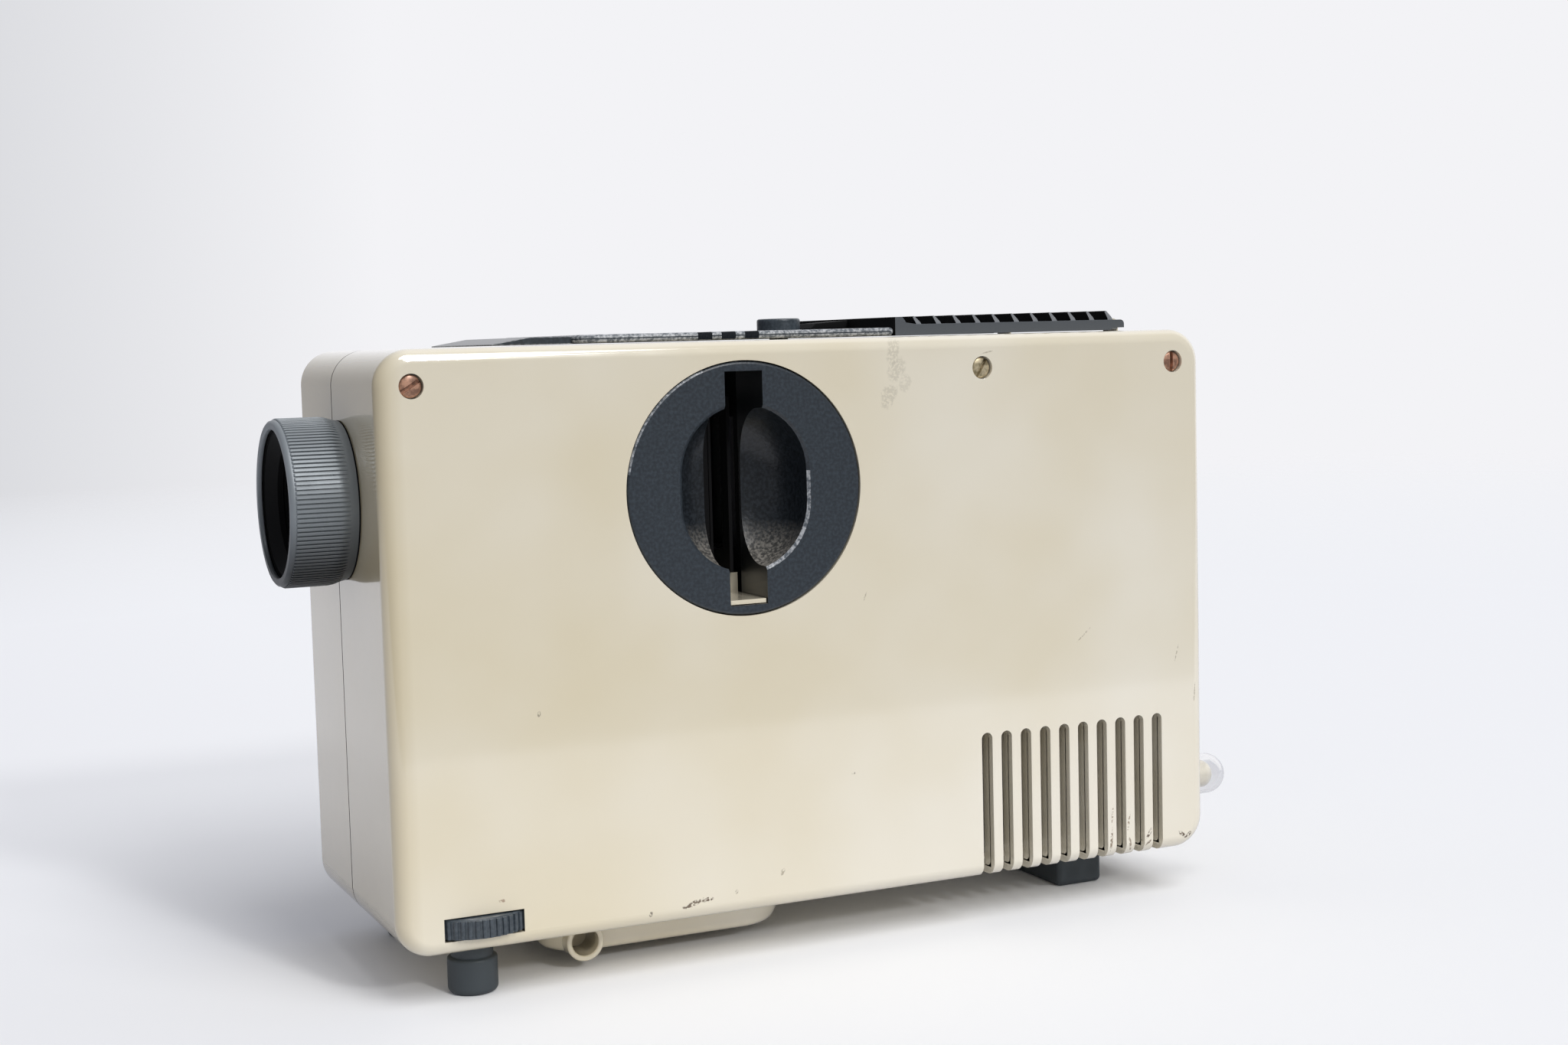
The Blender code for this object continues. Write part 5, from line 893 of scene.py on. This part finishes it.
def focus_ring():
    rest, half = RING_RADIUS - 0.0005, 0.00042
    profile = [(0.0201, -0.0010), (0.0201, -0.0003), (0.0204, 0), (0.0219, 0),
               (0.0224, -0.0004), (0.0226, -0.0012), (rest, -0.0018), (rest, -0.0145),
               (0.0223, -0.0160), (0.0220, -0.0172), (0.0218, -RING_LENGTH),
               (0.02155, -RING_LENGTH), (0.02155, -0.0012), (0.0201, -0.0012)]
    body = turned("ring_body", profile, (0, 0, 0), "Z", 192, True)
    run = [(rest - 0.0003, -0.0014), (RING_RADIUS - 0.0002, -0.0014), (RING_RADIUS, -0.0018),
           (RING_RADIUS, -0.0130), (RING_RADIUS - 0.0002, -0.0145),
           (rest - 0.0003, -0.0163)]
    rib = prism("rib", run, -half, half, lambda u, v, depth: (u, depth, v))
    bevel(rib, 0.00008, 1, 40.0)
    ribs = repeat(settle(rib), RING, Count=117, Material=ANODISED)
    ring = joined("ribbed_focus_ring", [body, ribs])
    ring.data.transform(Matrix.Translation((RING_FRONT, AXIS_Y, AXIS_Z)) @ AXES["-X"])
    return finished(settle(ring, 35), ANODISED, "focus_ring", "anodised_ring", "focus_ring")


focus_ring()

# %% [markdown]
# ## Inside the ring
# A black cone leads to the front glass, and stepped baffles behind it kill stray light. The
# front glass is a domed lens with a faint coating.

# %% Cone, barrel and front glass
def lens_front():
    cone = turned("lens_front_cone",
                  [(0.01975, -0.0018), (0.01975, -0.0061), (0.0155, -0.0061), (0.0155, -0.0045),
                   (0.0189, -0.0018)],
                  (RING_FRONT, AXIS_Y, AXIS_Z), "-X", 96, True)
    finished(settle(cone, 25), MATT_BLACK, "lens", "black_plastic", "lens_cone_ring")
    radius, edge, bulge = 0.0141, 0.0008, 0.0024
    curve = (radius ** 2 + bulge ** 2) / (2 * bulge)
    front = [(r, edge + bulge - curve + math.sqrt(curve ** 2 - r ** 2))
             for r in (radius * i / 12 for i in range(13))]
    profile = front + [(r, -h) for r, h in reversed(front)]
    low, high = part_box("front_lens")
    glass = turned("front_lens_glass", profile, ((low.x + high.x) / 2, AXIS_Y, AXIS_Z), "-X")
    finished(settle(glass, 40), GLASS, "lens", "optical_glass", "front_lens")


lens_front()

# %% [markdown]
# ## Feet and thumbwheels
# The front feet are rubber on screw stems, and ribbed wheels raise them. A wheel has moulded
# ribs round its rim: one rounded rib, copied 54 times.

# %% Thumbwheels and feet
def thumbwheel(label, y):
    low, high = 0.0181, 0.0235
    rest = 0.0162
    profile = [(0.0043, high), (rest - 0.0005, high), (rest, high - 0.0005),
               (rest, low + 0.0005), (rest - 0.0005, low), (0.0043, low)]
    body = turned("wheel_body", profile, (0, 0, 0), "Z", 108, True)
    section = [(rest - 0.0004, -0.00062), (rest + 0.0004, -0.0005), (0.0168, -0.0002),
               (0.0168, 0.0002), (rest + 0.0004, 0.0005), (rest - 0.0004, 0.00062)]
    rib = prism("wheel_rib", section, low + 0.0003, high - 0.0003, lambda u, v, d: (u, v, d))
    wheel = joined(f"{label}_ribbed_wheel", [body, repeat(rib, RING, Count=54, Material=BUTTON)])
    wheel.data.transform(Matrix.Translation((WHEEL_X, y, 0)))
    return finished(settle(wheel, 35), BUTTON, f"{label}_wheel", "dark_grained_plastic",
                    f"{label}_thumbwheel")


def screw_foot(label, y):
    profile = [(0, 0.0405), (0.004, 0.0405), (0.004, 0.0178), (0.0057, 0.0178),
               (0.0057, 0.0100)]
    profile += arc(0.0007, 90, 0, 5, (0.0061, 0.0091)) + [(0.0068, 0.0020)]
    profile += arc(0.0016, 0, -90, 8, (0.0052, 0.0016)) + [(0, 0)]
    foot = turned(f"{label}_rubber_foot", profile, (WHEEL_X, y, 0), "Z", 64)
    return finished(settle(foot, 40), RUBBER, f"{label}_foot", "grey_rubber", f"{label}_foot")


for label, y in (("near", -WHEEL_Y), ("far", WHEEL_Y)):
    thumbwheel(label, y)
    screw_foot(label, y)

# %% Rear foot
low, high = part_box("rear_foot")
rear = block("rear_rubber_foot", low, high, 0.0018, 6)
finished(settle(rear), RUBBER, "case", "grey_rubber", "rear_foot")

# %% [markdown]
# ## The top deck and the button
# A dark plate lies on the case. Its narrow front ramps up to the pad, and three grooves cross
# it over the slide passage. The round button stands in a well behind them.

# %% Deck and button
def top_deck():
    base, high = TOP_Z + GAP, TOP_Z + 0.0026
    pad_x, rear_x, half, corner = -0.06785, 0.02795, 0.0359, 0.006
    plan = arc(corner, 90, 180, 9, (pad_x + corner, half - corner))
    plan += arc(corner, 180, 270, 9, (pad_x + corner, corner - half))
    plan += [(rear_x, -half), (rear_x, half)]
    deck = prism("grooved_top_deck", plan, base, high, plan_view)
    # The deck's rounded edges take the paler, glinting material: painted highlight.
    bevel(deck, 0.0010, 4, 40.0, (DARK, EDGE_HIGHLIGHT))
    settle(deck)
    groove = block("groove", (PORT_X - 0.00925, NEAR_Y, high - 0.0021),
                   (PORT_X - 0.00495, FAR_Y, high + OVERRUN))
    grooves = repeat(groove, ROW, Count=3, Step=(0.0071, 0.0, 0.0))
    well = round_tool("well", 0.00675, (BUTTON_X, 0, TOP_Z - OVERRUN), "Z", 0.0085, 64)
    cut(deck, [grooves, well])
    nose = prism("nose", [(-0.09035, base), (pad_x + 0.001, base), (pad_x + 0.001, high - GAP),
                          (-0.07985, high - GAP), (-0.09035, base + GAP)],
                 -0.0295, 0.0295, side_view)
    # The nose's rounded edges get the same painted highlight.
    bevel(nose, 0.0004, 3, 20.0, (DARK, EDGE_HIGHLIGHT))
    settle(nose)
    mark_faces(nose, 2, lambda centre, normal: normal.z > 0.5)
    deck = joined("grooved_top_deck", [deck, nose])
    return finished(settle(deck), (DARK, EDGE_HIGHLIGHT, LID), "case", "dark_grained_plastic",
                    "top_deck")


def power_button():
    top, radius = 0.1795, 0.00645
    profile = [(0, top), (radius - 0.0007, top)]
    profile += arc(0.0007, 90, 0, 6, (radius - 0.0007, top - 0.0007))
    profile += [(radius, 0.1756), (0.0028, 0.1756), (0.0028, 0.1685), (0, 0.1685)]
    button = turned("round_power_button", profile, (BUTTON_X, 0, 0), "Z", 64)
    return finished(settle(button, 40), BUTTON, "button", "dark_grained_plastic", "power_button")


top_deck()
power_button()

# %% [markdown]
# ## The louvred lid
# Side bars and eleven slats that lean forward make the lid over the lamp house, and a lip in
# front lifts it. Hands have rubbed the bars grey. The slats are painted paler still, as painted
# light on their lit ends, and the lip and the faces that look forward are painted black, as
# painted shade. One slat is drawn and copied in a row, and each copy is a little taller than the
# one in front of it.

# %% Lamp lid
LID_X = 0.02825  # the lid's front


def lamp_lid():
    near, far, bar = -0.0362, 0.0362, 0.0032
    high = TOP_Z + 0.0056
    rear_x, rear_z = PIN_X + 0.0017, PIN_Z - 0.0010
    side = [(PIN_X - 0.0030, TOP_Z + GAP), (PIN_X - 0.0022, rear_z), (rear_x, rear_z)]
    side += arc(0.0013, 0, 90, 8, (rear_x - 0.0013, PIN_Z + 0.0001))
    side += [(LID_X + 0.0070, PIN_Z + 0.0014), (LID_X + 0.0036, PIN_Z + 0.0019),
             (LID_X + 0.0024, high), (LID_X, high), (LID_X, TOP_Z + GAP)]
    lid = prism("louvred_lamp_lid", side, near, far, side_view)
    tools = [block("well", (LID_X + 0.0012, near + bar, TOP_Z - OVERRUN),
                   (PIN_X - 0.0029, far - bar, high + OVERRUN))]
    tools += [block("ear_room", (PIN_X - 0.0021, y, TOP_Z - OVERRUN),
                    (PIN_X + 0.0047, y + 0.0033, high)) for y in (-0.033, 0.0297)]
    cut(lid, tools)
    bevel(lid, 0.0005, 3, 35.0)
    settle(lid)
    under, tip = TOP_Z + 0.0029, LID_X - 0.0125
    lip = prism("lip", [(tip, under), (LID_X + 0.0006, under), (LID_X + 0.0006, high - GAP),
                        (tip + 0.0019, TOP_Z + 0.0045)], -0.006, 0.006, side_view)
    bevel(lip, 0.0003, 2, 20.0)
    settle(lip)
    # The whole lip is painted black: painted shade.
    mark_faces(lip, 1, lambda centre, normal: True)
    x, lean, low = LID_X + 0.0064, 0.0024, TOP_Z + 0.0006
    slat = prism("slat", [(x + lean - 0.0018, 0), (x + lean + 0.0018, 0),
                          (x + lean / 2 + 0.0007, 0.0034), (x + 0.0003, 0.0049),
                          (x, 0.0051), (x - 0.0003, 0.0051), (x - 0.0005, 0.0049),
                          (x + lean / 2 - 0.0006, 0.0030)],
                 near + 0.0003, far - 0.0003, side_view)
    repeat(slat, ROW, Count=11, Step=(0.00658, 0.0, 0.0), Growth=0.0080, Material=LID)
    slat.location.z = low
    # All slat faces take the paler material: painted light.
    mark_faces(slat, 2, lambda centre, normal: True)
    lid = joined("louvred_lamp_lid", [lid, lip, slat])
    settle(lid)
    # Faces that look forward are painted black: painted shade.
    mark_faces(lid, 1, lambda centre, normal: normal.x < -0.7 and abs(centre.y) < far - bar)
    return finished(lid, (LID, MATT_BLACK, SLAT), "lid", "dark_grained_plastic", "lamp_lid")


lamp_lid()

# %% [markdown]
# ## The belly pan
# The tub under the case is rounded in plan and drawn in towards its floor, so it casts a soft
# edge. Its open sleeve faces the near side.

# %% Belly pan
def belly_pan():
    low, high = (-0.08375, -0.028, 0.0044), (-0.00375, 0.028, 0.0135)
    work = cube(low, high)
    for vertex in work.verts:
        if vertex.co.z < 0.008:
            vertex.co.x += 0.0052 if vertex.co.x < -0.04 else -0.0052
    posts = [e for e in work.edges if abs(e.verts[0].co.z - e.verts[1].co.z) > 0.001]
    round_edges(work, posts, 0.010, 12)
    floor = [e for e in work.edges if all(abs(v.co.z - low[2]) < TOUCH for v in e.verts)]
    round_edges(work, floor, 0.0024, 6)
    pan = from_bmesh("rounded_belly_pan", work)
    sleeve_x, sleeve_z = -0.07015, 0.0081
    sleeve = turned("sleeve", [(0.0039, 0.0), (0.0042, -0.0003), (0.0051, -0.0003), (0.0054, 0.0),
                               (0.0054, 0.0125), (0.0039, 0.0125)],
                    (sleeve_x, -0.0305, sleeve_z), "Y", 48, True)
    hollow = round_tool("bore", 0.0039, (sleeve_x, -0.0335, sleeve_z), "Y", 0.013, 48)
    cut(pan, [hollow])
    pan = joined("rounded_belly_pan", [pan, sleeve])
    return finished(settle(pan), BEIGE, "case", "beige_gloss_plastic", "belly_pan")


belly_pan()

# %% [markdown]
# ## The rear bumpers
# Each is a clear acrylic dome over a beige core, so the light bends round the core.

# %% Bumper domes and cores
def bumper(label, y):
    z, outer, inner = 0.0336, 0.0063, 0.0052
    straight = 0.0138 - outer
    dome = [(max(r, 0.0) if i else 0.0, h)
            for i, (r, h) in enumerate(arc(outer, 90, 0, 14, (0, straight)))]
    hollow = arc(inner, 0, 90, 12, (0, straight))
    hollow[-1] = (0.0, hollow[-1][1])
    shell = turned(f"{label}_clear_dome", dome + [(outer, GAP), (inner, GAP)] + hollow,
                   (REAR_X, y, z), "X", 64)
    finished(settle(shell, 40), ACRYLIC, "case", "clear_plastic", f"{label}_bumper_dome")
    tip = arc(0.0044, 90, 0, 10, (0, straight - 0.0026))
    tip[0] = (0.0, tip[0][1])
    points = tip + [(0.0044, 0.0017), (0.0049, 0.0017), (0.0049, GAP), (0.0015, GAP),
                    (0.0015, -0.0035), (0, -0.0035)]
    core = turned(f"{label}_rounded_core", points, (REAR_X, y, z), "X", 48)
    finished(settle(core, 40), BEIGE, "case", "beige_gloss_plastic", f"{label}_bumper_core")


bumper("near", -0.0338)
bumper("far", 0.0338)

# %% [markdown]
# ## Floor, light and camera
# The projector stands on a white table before a white wall. A tall window stands in front of
# it, a little to the right, so the long side is bright, the lens end is in soft shade and the
# shadow falls back and to the left. Three suns at three heights act as that window, because
# they light the whole table evenly. The room behind the camera is dark: the glossy side
# mirrors it above the reflection of the table's edge.

# %% Table
TABLE_FRONT_Y, TABLE_SIDE, TABLE_BACK_Y = -0.38, 3.0, 3.0


def white_table():
    """Matt white, seen a little greyer to the left as painted shade, fading into the wall far
    behind.
    """
    made = new_material("matt_white_table", "FFFFFF", 1.0, Specular_IOR_Level=0.0)
    tree = made.node_tree
    # Painted shade: the table as seen turns greyer to the left, away from the window.
    side = ramp(tree, split_place(tree)["X"], -0.5, 0.0)
    rays = add_node(tree, "ShaderNodeLightPath")
    seen = mix_colour(tree, rays.outputs["Is Camera Ray"], "E0E0E2",
                      mix_colour(tree, side, "EBEBED", "F8F8F8"))
    where = add_node(tree, "ShaderNodeTexCoord")
    far = add_node(tree, "ShaderNodeVectorMath", operation="LENGTH")
    link(tree, (where.outputs["Object"], far.inputs[0]))
    feed(made, "Alpha", ramp(tree, far.outputs["Value"], 0.9, 2.4, 1.0, 0.0))
    return feed(made, "Base Color", seen)


def table():
    work = bmesh.new()
    corners = [(-TABLE_SIDE, TABLE_FRONT_Y, 0), (TABLE_SIDE, TABLE_FRONT_Y, 0),
               (TABLE_SIDE, TABLE_BACK_Y, 0), (-TABLE_SIDE, TABLE_BACK_Y, 0)]
    work.faces.new([work.verts.new(c) for c in corners])
    made = from_bmesh("floor", work)
    made.data.materials.append(white_table())


table()
print("table's front edge at y =", TABLE_FRONT_Y)


# %% Room and window
def room_light():
    """A white wall for the eye and in reflections, a dark room in front, a dim cool fill. As
    seen, the wall is painted greyer to the left: painted shade.
    """
    world = bpy.data.worlds.new("white_room")
    bpy.context.scene.world = world
    world.use_nodes = True
    tree = world.node_tree
    tree.nodes.clear()
    way = split_place(tree, "Generated")
    wall = mix_colour(tree, ramp(tree, way["X"], -0.45, 0.2), "606066", "F3F3F6")
    mirrored = mix_colour(tree, ramp(tree, way["Y"], -0.25, 0.1), "6C6C6E", wall)
    # Painted shade: the wall as seen is greyer to the left, away from the window.
    seen = mix_colour(tree, ramp(tree, way["X"], 0.06, 0.25), "D8D9DD", "F3F3F6")
    rays = add_node(tree, "ShaderNodeLightPath").outputs
    straight = combined(tree, "MAXIMUM", rays["Is Camera Ray"], rays["Is Transmission Ray"])
    direct = add_node(tree, "ShaderNodeBackground")
    gloss = add_node(tree, "ShaderNodeBackground")
    fill = add_node(tree, "ShaderNodeBackground", {"Color": linear("F1F4FF")})
    choose_gloss = add_node(tree, "ShaderNodeMixShader")
    choose = add_node(tree, "ShaderNodeMixShader")
    output = add_node(tree, "ShaderNodeOutputWorld")
    link(tree, (seen, direct.inputs["Color"]), (mirrored, gloss.inputs["Color"]),
         (ramp(tree, way["Z"], 0.0, 0.4, 0.20, 0.49), fill.inputs["Strength"]),
         (rays["Is Glossy Ray"], choose_gloss.inputs[0]),
         (fill.outputs[0], choose_gloss.inputs[1]), (gloss.outputs[0], choose_gloss.inputs[2]),
         (straight, choose.inputs[0]), (choose_gloss.outputs[0], choose.inputs[1]),
         (direct.outputs[0], choose.inputs[2]), (choose.outputs[0], output.inputs[0]))


def window_sun(name, height, strength, spread):
    """A sun in front of the near side, turned a little to the right. Angles are in degrees."""
    lamp = bpy.data.lights.new(name, "SUN")
    lamp.energy = strength
    lamp.angle = math.radians(spread)
    made = add_object(name, lamp)
    made.rotation_euler = (math.radians(90 - height), 0.0, math.radians(WINDOW_TURN))
    return made


WINDOW_TURN = 15.0
room_light()
for sun in (("window_low", 28, 0.70, 6), ("window_middle", 42, 0.65, 18),
            ("window_high", 62, 0.95, 30)):
    window_sun(*sun)
print("window is", WINDOW_TURN, "degrees to the right of the near side")

# %% Camera
camera = bpy.data.cameras.new("camera")
camera.lens = 49.0358
camera.sensor_width = 36.0
camera.sensor_fit = "HORIZONTAL"
camera_object = add_object("camera", camera)
camera_object.location = (-0.262426, -0.581821, 0.172699)
camera_object.rotation_euler = [math.radians(a) for a in (85.15413699, 1.48944447, -25.06531817)]
bpy.context.scene.camera = camera_object
bpy.context.scene.view_settings.view_transform = "Standard"
